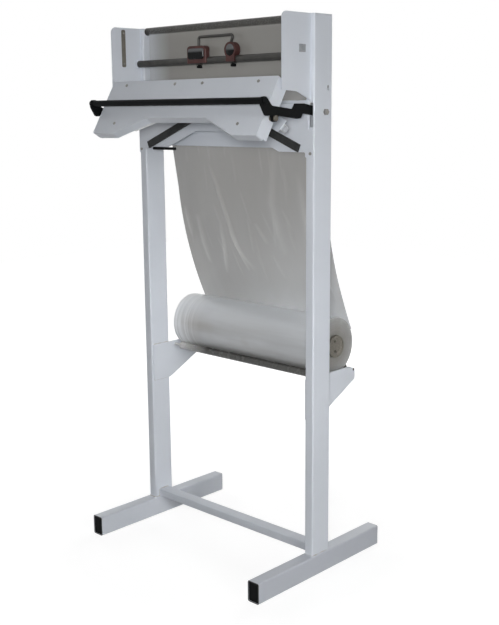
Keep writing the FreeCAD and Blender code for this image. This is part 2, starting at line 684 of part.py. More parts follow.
def hood_outline(wall):
    """Outline of the pan, drawn in from the outside by a wall thickness."""
    lean = math.atan2(ARCH_RISE, ARCH_FOOT - ARCH_FLAT)
    shift = wall * math.tan(lean / 2)
    side = HOOD_SIDE - wall
    top = HOOD_TOP_Z - wall
    bottom = HOOD_BOTTOM_Z + wall
    return symmetric([
        (ARCH_FLAT + shift, arch_top + wall, ARCH_ROUND + wall),
        (ARCH_FOOT + shift, bottom, ARCH_ROUND - wall),
        (side, bottom, HOOD_CORNER - wall),
        (side, top, HOOD_CORNER - wall),
    ])


def leaned(shape):
    """Turns a solid of the pan about its top front edge, so that the pan's foot lies further back."""
    return shape.rotate(V(0, HOOD_FACE_Y, HOOD_TOP_Z), V(1, 0, 0), HOOD_LEAN)


def leaned_point(y, z):
    turn = math.radians(HOOD_LEAN)
    ahead, rise = y - HOOD_FACE_Y, z - HOOD_TOP_Z
    leaned_y = HOOD_FACE_Y + ahead * math.cos(turn) - rise * math.sin(turn)
    return leaned_y, HOOD_TOP_Z + ahead * math.sin(turn) + rise * math.cos(turn)


hood = plate_xz(hood_outline(0.0), (HOOD_FACE_Y, HOOD_FACE_Y + HOOD_DEPTH))
hood = hood.cut(plate_xz(hood_outline(HOOD_SHEET), (HOOD_INSIDE_Y, HOOD_FACE_Y + HOOD_DEPTH)))
top_screw_z = HOOD_TOP_Z - HOOD_TOP_SCREW_DROP
lobe_screw_z = HOOD_TOP_Z - HOOD_LOBE_SCREW_DROP
hood_screw_places = [(x, top_screw_z) for x in HOOD_TOP_SCREWS] + [(HOOD_LOBE_SCREW, lobe_screw_z)]
hood_screws = []
for x, z in hood_screw_places:
    for side in (-1, 1):
        hood = hood.cut(rod_y((HOOD_FACE_Y - 1, HOOD_INSIDE_Y + 1), side * x, z, SCREW_RADIUS))
        hood_screws.append(opened(leaned(screw_y(side * x, HOOD_FACE_Y, z, HOOD_SHEET + STAY_THICK))))
hood_bolt_y = HOOD_FACE_Y + HOOD_BOLT_DEPTH
hood_bolt_z = HOOD_TOP_Z - HOOD_BOLT_DROP
hood_bolt_hole = rod_x((-HOOD_SIDE - 1, HOOD_SIDE + 1), hood_bolt_y, hood_bolt_z, HOOD_BOLT_RADIUS)
side_y = (HOOD_FACE_Y + HOOD_CORNER, HOOD_FACE_Y + HOOD_SIDE_DEPTH)
side_z = (HOOD_BOTTOM_Z + HOOD_CORNER, HOOD_TOP_Z - HOOD_CORNER)
for wing in both_sides(plate_yz(rect(side_y, side_z, HOOD_SHEET), (HOOD_SIDE - HOOD_SHEET, HOOD_SIDE))):
    hood = hood.fuse(wing)
save("hood", opened(leaned(hood.removeSplitter()).cut(hood_bolt_hole)))
save("hood_screws", *hood_screws)

# Hood stays: bent strips that hold the hood on the crossbar and on the carrier's outer ends
stays = []
top_bend_z = top_screw_z - STAY_LIP / 2
for x in HOOD_TOP_SCREWS:
    stay = plate_yz([
        (*leaned_point(HOOD_INSIDE_Y, top_screw_z + STAY_LIP / 2), 0),
        (*leaned_point(HOOD_INSIDE_Y, top_bend_z), 0),
        (JAW_BAR_Y[0] - STAY_THICK, top_bend_z, 0),
        (JAW_BAR_Y[0] - STAY_THICK, JAW_BAR_Z[0] + JAW_BAR_ROUND, 0),
        (JAW_BAR_Y[0], JAW_BAR_Z[0] + JAW_BAR_ROUND, 0),
        (JAW_BAR_Y[0], top_bend_z + STAY_THICK, 0),
        (*leaned_point(HOOD_INSIDE_Y + STAY_THICK, top_bend_z + STAY_THICK), 0),
        (*leaned_point(HOOD_INSIDE_Y + STAY_THICK, top_screw_z + STAY_LIP / 2), 0),
    ], about(x, STAY_WIDTH))
    stay_hole = rod_y((HOOD_INSIDE_Y, HOOD_INSIDE_Y + STAY_THICK), x, top_screw_z, SCREW_RADIUS)
    stays += both_sides(stay.cut(leaned(stay_hole)))
lobe_bend_z = JAW_BAR_Z[0] - STAY_LIP
lobe_stay = plate_yz([
    (*leaned_point(HOOD_INSIDE_Y, lobe_screw_z - STAY_LIP / 2), 0),
    (*leaned_point(HOOD_INSIDE_Y, lobe_bend_z), 0),
    (CARRIER_Y[0] - STAY_THICK, lobe_bend_z, 0),
    (CARRIER_Y[0] - STAY_THICK, JAW_BAR_Z[0] - STAY_THICK, 0),
    (CARRIER_Y[0], JAW_BAR_Z[0] - STAY_THICK, 0),
    (CARRIER_Y[0], lobe_bend_z - STAY_THICK, 0),
    (*leaned_point(HOOD_INSIDE_Y + STAY_THICK, lobe_bend_z - STAY_THICK), 0),
    (*leaned_point(HOOD_INSIDE_Y + STAY_THICK, lobe_screw_z - STAY_LIP / 2), 0),
], about(HOOD_LOBE_SCREW, STAY_WIDTH))
lobe_hole = rod_y((HOOD_INSIDE_Y, HOOD_INSIDE_Y + STAY_THICK), HOOD_LOBE_SCREW, lobe_screw_z, SCREW_RADIUS)
stays += both_sides(lobe_stay.cut(leaned(lobe_hole)))
save("hood_stays", *[opened(stay) for stay in stays])

# Arms: flat plates, drawn as they stand with the jaw open, hinged inside the posts
bar_y, bar_z = PIVOT_Y - BAR_REACH, PIVOT_Z + BAR_RISE
knee_y, knee_z = opened_point(sum(JAW_BAR_Y) / 2, sum(JAW_BAR_Z) / 2)
lug_y, lug_z = opened_point(hood_bolt_y, hood_bolt_z)
arm = plate_yz([
    (PIVOT_Y + 27, PIVOT_Z + 10, 8),
    (PIVOT_Y - 40, PIVOT_Z + 18, 12),
    (knee_y + 37, knee_z + 21, 8),
    (knee_y - 4, knee_z + 21, 6),
    (knee_y - 17, knee_z + 3, 10),
    (bar_y + 36, bar_z - 15, 14),
    (bar_y + ARM_EYE - 2, bar_z + ARM_EYE, 14),
    (bar_y - ARM_EYE, bar_z + ARM_EYE, ARM_EYE - 2),
    (bar_y - ARM_EYE, bar_z - ARM_EYE, ARM_EYE - 2),
    (bar_y + 8, bar_z - 47, 14),
    (lug_y - LUG_RADIUS - 6, lug_z + 10, 5),
    (lug_y - LUG_RADIUS, lug_z - LUG_RADIUS, LUG_RADIUS - 3),
    (lug_y + LUG_RADIUS, lug_z - LUG_RADIUS, LUG_RADIUS - 3),
    (lug_y + LUG_RADIUS + 6, lug_z + 8, 5),
    (knee_y + 3, knee_z - 27, 8),
    (knee_y + 22, knee_z - 25, 8),
    (knee_y + 29, knee_z - 10, 8),
    (PIVOT_Y - 50, PIVOT_Z - 10, 12),
    (PIVOT_Y - 12, PIVOT_Z - 18, 12),
    (PIVOT_Y + 14, PIVOT_Z - 18, 14),
    (PIVOT_Y + 27, PIVOT_Z - 8, 8),
], ARM_X)
pin_y, pin_z = SPRING_Y, PIVOT_Z + SPRING_PIN_RISE
pin_x = (bore_x[0] + SPRING_SIDE_GAP / 2, ARM_X[1])
for y, z, radius in (
    (PIVOT_Y, PIVOT_Z, BUSH_RADIUS),
    (bar_y, bar_z, BAR_RADIUS),
    (lug_y, lug_z, HOOD_BOLT_RADIUS),
    (pin_y, pin_z, SPRING_PIN_RADIUS),
):
    arm = arm.cut(rod_x((ARM_X[0] - 1, ARM_X[1] + 1), y, z, radius))
save_sides("arm", arm)

bush = rod_x(ARM_X, PIVOT_Y, PIVOT_Z, BUSH_RADIUS)
bush = bush.cut(rod_x(ARM_X, PIVOT_Y, PIVOT_Z, PIVOT_RADIUS + RUNNING_CLEARANCE))
save("arm_bushes", *both_sides(bush))
save("spring_pins", *both_sides(rod_x(pin_x, pin_y, pin_z, SPRING_PIN_RADIUS)))

# Hinge bolts through the posts, with spacers that keep each arm in the middle of its slot
bolt = rod_x((INNER - PIVOT_NUT_HEIGHT, OUTER), PIVOT_Y, PIVOT_Z, PIVOT_RADIUS)
head_x = (OUTER, OUTER + PIVOT_HEAD_HEIGHT)
nut_x = (INNER - PIVOT_NUT_HEIGHT, INNER)
bolt = bolt.fuse(hexagon_x(head_x, PIVOT_Y, PIVOT_Z, PIVOT_HEAD_ACROSS))
bolt = bolt.fuse(hexagon_x(nut_x, PIVOT_Y, PIVOT_Z, PIVOT_HEAD_ACROSS)).removeSplitter()
save("pivot_bolts", *both_sides(bolt))
spacers = []
for span in ((bore_x[0], ARM_X[0] - SPACER_END_GAP), (ARM_X[1] + SPACER_END_GAP, bore_x[1])):
    ring = rod_x(span, PIVOT_Y, PIVOT_Z, SPACER_RADIUS)
    spacers += both_sides(ring.cut(rod_x(span, PIVOT_Y, PIVOT_Z, PIVOT_RADIUS)))
save("pivot_spacers", *spacers)

# Handle bar: round tube through the arms' eyes, closed by end caps
bar_end = ARM_X[1] + BAR_OVERHANG
bar_x = (-bar_end, bar_end)
bar_bore = rod_x(bar_x, bar_y, bar_z, BAR_RADIUS - BAR_WALL)
save("handle_bar", rod_x(bar_x, bar_y, bar_z, BAR_RADIUS).cut(bar_bore))
bar_cap = rod_x((bar_end, bar_end + BAR_CAP_LENGTH), bar_y, bar_z, BAR_RADIUS)
cap_rim = [edge for edge in bar_cap.Edges if edge.BoundBox.XMin > bar_end + BAR_CAP_LENGTH - 1e-3]
bar_cap = bar_cap.makeChamfer(BAR_CAP_LENGTH * 0.6, cap_rim)
bar_plug = rod_x((bar_end - BAR_CAP_PLUG, bar_end), bar_y, bar_z, BAR_RADIUS - BAR_WALL)
save("handle_end_caps", *both_sides(bar_cap.fuse(bar_plug).removeSplitter()))

# Hood bolts: each arm's lug is bolted to the hood's side wall over a spacer
inside_wall = HOOD_SIDE - HOOD_SHEET
hood_bolt = rod_x((inside_wall - HOOD_BOLT_HEAD, ARM_X[1]), lug_y, lug_z, HOOD_BOLT_RADIUS)
hood_bolt = hood_bolt.fuse(rod_x((ARM_X[1], ARM_X[1] + HOOD_BOLT_HEAD), lug_y, lug_z, HOOD_BOLT_HEAD_RADIUS))
hood_nut = hexagon_x((inside_wall - HOOD_BOLT_HEAD, inside_wall), lug_y, lug_z, 2 * HOOD_BOLT_HEAD_RADIUS - 3)
save("hood_bolts", *both_sides(hood_bolt.fuse(hood_nut).removeSplitter()))
spacer = rod_x((HOOD_SIDE, ARM_X[0]), lug_y, lug_z, HOOD_SPACER_RADIUS)
save("hood_spacers", *both_sides(spacer.cut(rod_x((HOOD_SIDE, ARM_X[0]), lug_y, lug_z, HOOD_BOLT_RADIUS))))

# Return springs: close-wound extension springs that pull the arms up, each between two pins
spring_x = bore_x[0] + SPRING_SIDE_GAP
anchor_z = pin_z + SPRING_SPAN
anchor = rod_x((bore_x[0], ARM_X[0] - SPACER_END_GAP), pin_y, anchor_z, SPRING_PIN_RADIUS)
save("spring_anchors", *both_sides(anchor))
eye_offset = SPRING_EYE_RADIUS - SPRING_WIRE / 2 - SPRING_PIN_RADIUS - RUNNING_CLEARANCE
spring = None
for place, side in ((pin_z + eye_offset, 1), (anchor_z - eye_offset, -1)):
    eye_x = about(spring_x, SPRING_EYE_WIDTH)
    eye = rod_x(eye_x, pin_y, place, SPRING_EYE_RADIUS + SPRING_WIRE / 2)
    eye = eye.cut(rod_x(eye_x, pin_y, place, SPRING_EYE_RADIUS - SPRING_WIRE / 2))
    hook_from = place + side * SPRING_EYE_RADIUS
    hook_span = sorted((hook_from, hook_from + side * SPRING_HOOK_LENGTH))
    eye = eye.fuse(rod_z(hook_span, spring_x, pin_y, SPRING_WIRE / 2))
    spring = eye if spring is None else spring.fuse(eye)
hook_reach = eye_offset + SPRING_EYE_RADIUS + SPRING_HOOK_LENGTH - SPRING_WIRE
coil_span = (pin_z + hook_reach, anchor_z - hook_reach)
coil = rod_z(coil_span, spring_x, pin_y, SPRING_RADIUS)
save("return_springs", *both_sides(spring.fuse(coil).removeSplitter()))

# Hanger carriage: a block and a round boss saddled on the rail, joined by a bail
rail_bore = rod_x((-INNER, INNER), RAIL_Y, RAIL_Z, RAIL_RADIUS + RUNNING_CLEARANCE)
block_x = about(BLOCK_X, BLOCK_WIDTH)
carriage_y = about(RAIL_Y - CARRIAGE_FORWARD, CARRIAGE_DEPTH)
block_z = (RAIL_Z - CARRIAGE_DROP, RAIL_Z + BLOCK_RISE)
block_corners = [
    (block_x[0], block_z[0], BLOCK_FOOT_ROUND),
    (block_x[1], block_z[0], BLOCK_FOOT_ROUND),
    (block_x[1], block_z[1], BLOCK_ROUND),
    (block_x[0], block_z[1], BLOCK_ROUND),
]
bail_hole = rod_z((RAIL_Z + BLOCK_RISE / 2, RAIL_Z + 2 * BLOCK_RISE), BAIL_LEFT_X, RAIL_Y, BAIL_RADIUS)
block = plate_xz(block_corners, carriage_y)
block = block.common(plate_xy(rect(block_x, carriage_y, BLOCK_SIDE_ROUND), block_z))
collars = {}
for x in (BLOCK_X, BOSS_X):
    collars[x] = rod_x(about(x, STRAP_WIDTH), RAIL_Y, RAIL_Z, RAIL_RADIUS + RUNNING_CLEARANCE + STRAP_THICK)
save("hanger_block", block.cut(rail_bore).cut(collars[BLOCK_X]).cut(bail_hole))

boss_z = RAIL_Z + BOSS_RISE
boss = rod_y(carriage_y, BOSS_X, boss_z, BOSS_RADIUS)
neck = box(about(BOSS_X, BOSS_NECK), carriage_y, (RAIL_Z - CARRIAGE_DROP, boss_z))
boss = boss.fuse(neck).removeSplitter()
bail_top = RAIL_Z + BAIL_RISE
bail_start = V(BAIL_LEFT_X, RAIL_Y, RAIL_Z + BLOCK_RISE / 2)
bail_path = [
    bail_start,
    V(BAIL_LEFT_X, RAIL_Y, bail_top),
    V(BAIL_RIGHT_X, RAIL_Y, bail_top),
    V(BAIL_FOOT_X, RAIL_Y, boss_z + BOSS_RADIUS / 3),
]


def bent_rod(points, bend, radius):
    """Round rod along straight runs, with an arc of the bend radius at each corner."""
    edges = []
    start = points[0]
    for before, corner, after in zip(points, points[1:], points[2:]):
        back = (before - corner).normalize()
        ahead = (after - corner).normalize()
        half = back.getAngle(ahead) / 2
        reach = bend / math.tan(half)
        inward = V(back + ahead).normalize()
        middle = corner + inward * (bend / math.sin(half) - bend)
        edges.append(Part.LineSegment(start, corner + back * reach).toShape())
        edges.append(Part.Arc(corner + back * reach, middle, corner + ahead * reach).toShape())
        start = corner + ahead * reach
    edges.append(Part.LineSegment(start, points[-1]).toShape())
    path = Part.Wire(edges)
    circle = Part.Wire(Part.Circle(points[0], points[1] - points[0], radius).toShape())
    return path.makePipeShell([circle], True, False)


bail = bent_rod(bail_path, BAIL_BEND, BAIL_RADIUS)
save("hanger_bail", bail)
save("hanger_boss", boss.cut(rail_bore).cut(collars[BOSS_X]).cut(bail))

# Glossy faces: a rounded plate on the block and a low dome on the boss
face_y = (carriage_y[0] - FACE_THICK, carriage_y[0])
block_face_z = (RAIL_Z + FACE_RISE, block_z[1] - FACE_MARGIN)
block_face = plate_xz(rect(inset(block_x, FACE_MARGIN), block_face_z, BLOCK_ROUND / 2), face_y)
face_rim = [edge for edge in block_face.Edges if edge.BoundBox.YMax < face_y[0] + 1e-3]
block_face = block_face.makeChamfer(FACE_EDGE, face_rim)
dome_radius = (BOSS_FACE_RADIUS ** 2 + FACE_THICK ** 2) / (2 * FACE_THICK)
dome = Part.makeSphere(dome_radius, V(BOSS_X, face_y[0] + dome_radius, boss_z))
boss_face = dome.common(rod_y((face_y[0] - FACE_THICK, face_y[1]), BOSS_X, boss_z, BOSS_FACE_RADIUS))
save("carriage_faces", block_face, boss_face)

strap_bottom = RAIL_Z - RAIL_RADIUS - RUNNING_CLEARANCE - STRAP_THICK
thumb_z = (strap_bottom - THUMB_LENGTH, strap_bottom)
save("clamp_straps", *[collar.cut(rail_bore) for collar in collars.values()])
save("thumb_screws", *[rod_z(thumb_z, x, RAIL_Y, THUMB_RADIUS) for x in collars])

# Rocker switch: housing in the right cheek's cut-out, rocker on a cross pin
bezel_x = (CHEEK_X[1], CHEEK_X[1] + BEZEL_THICK)
housing = plate_yz(rect(inset(switch_y, -BEZEL_MARGIN), inset(switch_z, -BEZEL_MARGIN), 2.0), bezel_x)
body_x = (CHEEK_X[1] - SWITCH_BODY_DEPTH, CHEEK_X[1])
housing = housing.fuse(plate_yz(rect(switch_y, switch_z, 1.0), body_x)).removeSplitter()
well_y = inset(switch_y, ROCKER_MARGIN)
well_z = inset(switch_z, ROCKER_MARGIN)
rocker_x = CHEEK_X[1] - ROCKER_DEPTH / 2
well = box((rocker_x - ROCKER_DEPTH, bezel_x[1] + 1), well_y, well_z)
pin_hole = rod_z(inset(well_z, -ROCKER_MARGIN / 2), rocker_x, SWITCH_Y, ROCKER_PIN_RADIUS + RUNNING_CLEARANCE)
save("switch_housing", housing.cut(well).cut(pin_hole))
tip = math.tan(math.radians(ROCKER_TILT))
rocker_y = inset(well_y, ROCKER_END_GAP)
half = (rocker_y[1] - rocker_y[0]) / 2
face = bezel_x[1]
rocker = plate_xy([
    (rocker_x - 2.5, SWITCH_Y, 2),
    (rocker_x + 1.0, rocker_y[0], 0.5),
    (face, rocker_y[0], 0.5),
    (face - 0.5, SWITCH_Y, 4),
    (face + 2 * half * tip, rocker_y[1], 0.5),
    (rocker_x + 1.0, rocker_y[1], 0.5),
], inset(well_z, ROCKER_GAP))
rocker_pin_z = inset(well_z, ROCKER_GAP - ROCKER_MARGIN / 2)
rocker = rocker.fuse(rod_z(rocker_pin_z, rocker_x, SWITCH_Y, ROCKER_PIN_RADIUS))
save("switch_rocker", rocker.removeSplitter())

# Electrics inside the right post: transformer, timer board, closing sensor and mains inlet
trans_y = about(TRANSFORMER_Y, TRANSFORMER_DEPTH)
trans_bottom = PIVOT_Z + TRANSFORMER_RISE
trans_z = (trans_bottom, trans_bottom + TRANSFORMER_HEIGHT)
trans_x = bore_x
stack_x = inset(trans_x, 4.0)
window_y = inset(trans_y, CORE_LEG)
window_z = inset(trans_z, CORE_LEG)
centre_leg = about(TRANSFORMER_Y, 1.5 * CORE_LEG)
core_block = box(stack_x, trans_y, trans_z)
for span in ((window_y[0], centre_leg[0]), (centre_leg[1], window_y[1])):
    core_block = core_block.cut(box(stack_x, span, window_z))
save("transformer_core", core_block)
coil_block = box(trans_x, window_y, window_z).cut(box(stack_x, centre_leg, window_z))
save("transformer_coil", coil_block)

board_x = (bore_x[1] - BOARD_STANDOFF - BOARD_THICK, bore_x[1] - BOARD_STANDOFF)
board_y = about(TRANSFORMER_Y, BOARD_WIDTH)
board_bottom = PIVOT_Z + BOARD_RISE
board_z = (board_bottom, board_bottom + BOARD_HEIGHT)
board = box(board_x, board_y, board_z)
for y in inset(board_y, 6):
    for z in inset(board_z, 6):
        board = board.fuse(rod_x((board_x[1], bore_x[1]), y, z, 3))
relay = box((board_x[0] - 12, board_x[0]), inset(board_y, 16), (board_bottom + 12, board_bottom + 34))
trimmer = rod_x((board_x[0] - 8, board_x[0]), TRANSFORMER_Y, board_bottom + 60, 7)
save("timer_board", board.fuse(relay).fuse(trimmer).removeSplitter())

sensor_top = slot_z[0] - SENSOR_ARM_GAP
sensor_x = ARM_X[0] + ARM_THICK / 2
sensor = rod_z((sensor_top - SENSOR_LENGTH, sensor_top), sensor_x, SENSOR_Y, SENSOR_RADIUS)
shelf_z = about(sensor_top - SENSOR_LENGTH / 2, SENSOR_BRACKET_THICK)
shelf = box((sensor_x - SENSOR_BRACKET_WIDTH / 2, bore_x[1]), about(SENSOR_Y, SENSOR_BRACKET_WIDTH), shelf_z)
save("closing_sensor", sensor)
save("sensor_bracket", shelf.cut(sensor))

flange = rect(about(MID, INLET_FLANGE[0]), about(INLET_Z, INLET_FLANGE[1]), 3.0)
inlet = plate_xz(flange, (REAR, REAR + INLET_FLANGE_THICK))
inlet_body = (REAR + INLET_FLANGE_THICK - INLET_DEPTH, REAR)
inlet = inlet.fuse(plate_xz(inlet_hole, inlet_body)).removeSplitter()
socket_well = rect(about(MID, INLET_BODY[0] - 4), about(INLET_Z, INLET_BODY[1] - 4), 3.0)
inlet = inlet.cut(plate_xz(socket_well, (REAR - INLET_DEPTH / 2, REAR + INLET_FLANGE_THICK + 1)))
save("power_inlet", inlet)
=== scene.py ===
import bpy
import bmesh
import json
import math
import random
from mathutils import Matrix, Vector, noise


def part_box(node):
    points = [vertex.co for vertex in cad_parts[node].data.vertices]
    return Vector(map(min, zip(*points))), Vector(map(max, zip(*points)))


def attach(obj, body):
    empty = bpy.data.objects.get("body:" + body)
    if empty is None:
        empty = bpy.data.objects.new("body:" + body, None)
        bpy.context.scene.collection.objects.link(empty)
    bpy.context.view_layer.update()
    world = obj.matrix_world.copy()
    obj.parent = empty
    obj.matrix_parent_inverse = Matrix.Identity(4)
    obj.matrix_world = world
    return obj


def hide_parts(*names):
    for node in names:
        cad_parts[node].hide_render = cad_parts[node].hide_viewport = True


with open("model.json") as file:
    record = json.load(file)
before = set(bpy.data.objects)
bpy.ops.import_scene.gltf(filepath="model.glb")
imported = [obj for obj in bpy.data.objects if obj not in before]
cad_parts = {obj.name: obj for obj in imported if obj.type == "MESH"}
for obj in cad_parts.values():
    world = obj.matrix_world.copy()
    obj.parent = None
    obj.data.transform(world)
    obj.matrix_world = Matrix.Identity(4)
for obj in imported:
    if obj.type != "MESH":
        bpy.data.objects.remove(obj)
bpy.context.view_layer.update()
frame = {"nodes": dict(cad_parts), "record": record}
parts = frame["nodes"]
random.seed(7)

# Stand: two posts folded from sheet, two foot tubes and a flat base tube, all welded together.
# They wear one white powder coat, a little blue, with a fine orange-peel skin. The tubes' edges are round,
# with a painted highlight along them; the feet and the base tube are painted greyer, as shade near the floor,
# the right foot most.
WHITE_LIGHT = (0.675, 0.71, 0.765)
WHITE_DARK = (0.64, 0.675, 0.73)
WHITE_WORN = (0.5, 0.515, 0.53)
FOOT_LIGHT = (0.635, 0.665, 0.72)
FOOT_DARK = (0.59, 0.625, 0.675)
RIGHT_FOOT_SHADE_GREY = (0.505, 0.53, 0.58)
RIGHT_FOOT_SHADE_SHARE = 0.9
RIGHT_FOOT_SHADE_FADE = 0.1
ORANGE_PEEL = 900.0
PEEL_DEPTH = 0.00004
TUBE_EDGE = 0.004
EDGE_WEAR_AND_HIGHLIGHT_START = 0.98
EDGE_WEAR_AND_HIGHLIGHT_FULL = 0.75
EDGE_WEAR_AND_HIGHLIGHT_CELLS = 45.0
GLOSS_PER_PATCH = 6
GLOSS_BELOW = 0.05
GLOSS_ABOVE = 0.07


def start_finish(name, roughness, metallic=0.0, specular=0.5):
    """A new material with its nodes, its links and its main shader."""
    made = bpy.data.materials.new(name)
    made.use_nodes = True
    tree = made.node_tree
    shader = tree.nodes["Principled BSDF"]
    shader.inputs["Roughness"].default_value = roughness
    shader.inputs["Metallic"].default_value = metallic
    shader.inputs["Specular IOR Level"].default_value = specular
    return made, tree.nodes, tree.links, shader


def grain(nodes, links, scale, detail=3.0, stretch=(1.0, 1.0, 1.0)):
    """Noise in the piece's own coordinates, scale in cells per metre, drawn out along an axis by stretch."""
    place = nodes.new("ShaderNodeTexCoord")
    squeeze = nodes.new("ShaderNodeMapping")
    squeeze.inputs["Scale"].default_value = stretch
    links.new(place.outputs["Object"], squeeze.inputs["Vector"])
    cells = nodes.new("ShaderNodeTexNoise")
    cells.inputs["Scale"].default_value = scale
    cells.inputs["Detail"].default_value = detail
    links.new(squeeze.outputs["Vector"], cells.inputs["Vector"])
    return cells.outputs["Fac"]


def own_axes(nodes, links):
    """The piece's own coordinates, as sockets named X, Y and Z."""
    place = nodes.new("ShaderNodeTexCoord")
    split = nodes.new("ShaderNodeSeparateXYZ")
    links.new(place.outputs["Object"], split.inputs["Vector"])
    return split.outputs


def ramped(nodes, links, value, stops):
    """Colours along a value, from stops of (place, colour)."""
    ramp = nodes.new("ShaderNodeValToRGB")
    bar = ramp.color_ramp
    bar.elements[0].position = stops[0][0]
    bar.elements[0].color = (*stops[0][1], 1)
    bar.elements[1].position = stops[-1][0]
    bar.elements[1].color = (*stops[-1][1], 1)
    for place, colour in stops[1:-1]:
        bar.elements.new(place).color = (*colour, 1)
    links.new(value, ramp.inputs["Fac"])
    return ramp.outputs["Color"]


def laid_over(nodes, links, value, low, high, to_low, to_high):
    """A value between low and high, laid over another span."""
    lay = nodes.new("ShaderNodeMapRange")
    lay.inputs["From Min"].default_value = low
    lay.inputs["From Max"].default_value = high
    lay.inputs["To Min"].default_value = to_low
    lay.inputs["To Max"].default_value = to_high
    links.new(value, lay.inputs["Value"])
    return lay.outputs["Result"]


def joined(nodes, links, operation, first, second):
    """Two values joined by a sum, a product or the like."""
    join = nodes.new("ShaderNodeMath")
    join.operation = operation
    links.new(first, join.inputs[0])
    links.new(second, join.inputs[1])
    return join.outputs["Value"]


def unsigned(nodes, links, value):
    """A value without its sign."""
    drop = nodes.new("ShaderNodeMath")
    drop.operation = "ABSOLUTE"
    links.new(value, drop.inputs[0])
    return drop.outputs["Value"]


def mixed(nodes, links, share, first, second):
    """Two colours mixed by a share; the second may be a plain colour."""
    mix = nodes.new("ShaderNodeMixRGB")
    links.new(share, mix.inputs["Fac"])
    links.new(first, mix.inputs["Color1"])
    if isinstance(second, tuple):
        mix.inputs["Color2"].default_value = (*second, 1)
    else:
        links.new(second, mix.inputs["Color2"])
    return mix.outputs["Color"]


def relief(nodes, links, value, shader, depth, strength=1.0):
    """Fine surface relief, depth in metres."""
    bump = nodes.new("ShaderNodeBump")
    bump.inputs["Distance"].default_value = depth
    bump.inputs["Strength"].default_value = strength
    links.new(value, bump.inputs["Height"])
    links.new(bump.outputs["Normal"], shader.inputs["Normal"])
    return bump


def coated(name, light, dark, edge_wear_and_highlight, patch, roughness, peel, depth, metallic=0.0, specular=0.5, edge=0.001):
    """Paint, plastic or metal: patches of two colours, edges eased and tinted to a third, a fine skin. The
    third colour is rubbed wear, but a painted highlight in the post and foot coats, where it is lighter.

    The patches and the skin's peel are in cells per metre, its depth and the edges' radius in metres.
    """
    made, nodes, links, shader = start_finish(name, roughness, metallic, specular)
    body = ramped(nodes, links, grain(nodes, links, patch, 5.0), [(0.35, dark), (0.65, light)])
    eased = nodes.new("ShaderNodeBevel")
    eased.samples = 4
    eased.inputs["Radius"].default_value = edge
    surface = nodes.new("ShaderNodeNewGeometry")
    agree = nodes.new("ShaderNodeVectorMath")
    agree.operation = "DOT_PRODUCT"
    links.new(eased.outputs["Normal"], agree.inputs[0])
    links.new(surface.outputs["Normal"], agree.inputs[1])
    # Edges take the third colour: rubbed wear in most finishes, a painted highlight in the post and foot
    # coats.
    worn_and_lit_edges = laid_over(nodes, links, agree.outputs["Value"], EDGE_WEAR_AND_HIGHLIGHT_START, EDGE_WEAR_AND_HIGHLIGHT_FULL, 0.0, 1.0)
    broken = laid_over(nodes, links, grain(nodes, links, EDGE_WEAR_AND_HIGHLIGHT_CELLS, 4.0), 0.42, 0.62, 0.1, 0.8)
    share = joined(nodes, links, "MULTIPLY", worn_and_lit_edges, broken)
    links.new(mixed(nodes, links, share, body, edge_wear_and_highlight), shader.inputs["Base Color"])
    gloss = grain(nodes, links, patch * GLOSS_PER_PATCH, 4.0)
    gloss = laid_over(nodes, links, gloss, 0.3, 0.7, roughness - GLOSS_BELOW, roughness + GLOSS_ABOVE)
    links.new(gloss, shader.inputs["Roughness"])
    bump = relief(nodes, links, grain(nodes, links, peel, 2.0), shader, depth)
    links.new(eased.outputs["Normal"], bump.inputs["Normal"])
    return made


def reopened(made):
    """A finish opened again: its nodes, its links, its colour input and the colour that it has so far."""
    nodes, links = made.node_tree.nodes, made.node_tree.links
    colour = nodes["Principled BSDF"].inputs["Base Color"]
    return nodes, links, colour, colour.links[0].from_socket


def dress(made, *names):
    """One finish on CAD nodes, in place of what they came with."""
    for name in names:
        parts[name].data.materials.clear()
        parts[name].data.materials.append(made)


white_coat = coated("white_powder_coat", WHITE_LIGHT, WHITE_DARK, WHITE_WORN,
                    patch=4.0, roughness=0.42, peel=ORANGE_PEEL, depth=PEEL_DEPTH)
# Post coat: its edge colour is its light patch colour, a painted highlight along the rounded edges.
post_coat = coated("post_powder_coat", WHITE_LIGHT, WHITE_DARK, WHITE_LIGHT,
                   patch=4.0, roughness=0.42, peel=ORANGE_PEEL, depth=PEEL_DEPTH, edge=TUBE_EDGE)
# Foot coat: painted greyer than the posts' coat as painted shade near the floor, its edges lighter as a
# painted highlight.
foot_coat = coated("foot_powder_coat", FOOT_LIGHT, FOOT_DARK, WHITE_DARK,
                   patch=6.0, roughness=0.42, peel=ORANGE_PEEL, depth=PEEL_DEPTH, edge=TUBE_EDGE)
# The right foot is painted greyer still, as painted shade where less light reaches it.
right_foot_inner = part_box("right_foot")[0].x
nodes, links, colour, foot_tint = reopened(foot_coat)
right_foot_shade = laid_over(nodes, links, own_axes(nodes, links)["X"], right_foot_inner - RIGHT_FOOT_SHADE_FADE,
                    right_foot_inner, 0.0, RIGHT_FOOT_SHADE_SHARE)
links.new(mixed(nodes, links, right_foot_shade, foot_tint, RIGHT_FOOT_SHADE_GREY), colour)
dress(post_coat, "left_post", "right_post", "post_caps")
dress(foot_coat, "left_foot", "right_foot", "base_crossbar")

# Weld beads: the runs that hold the stand together, at the posts' feet, the base tube and the roll brackets.
# Each is laid as overlapping scales in an inside corner and painted over, with a brown stain where it burnt.
BEAD = 0.0026
BEAD_STEP = 0.0009
BEAD_SIDES = 9
BEAD_START = 0.3
BEAD_GROWTH = 0.2
BEAD_UNEVEN = 0.05
SCALE_STEPS = 4
SCALE_DROP = 0.05
SHARP_ANGLE = math.radians(38)
BURNT = (0.42, 0.38, 0.32)
BURNT_WORN = (0.4, 0.38, 0.34)


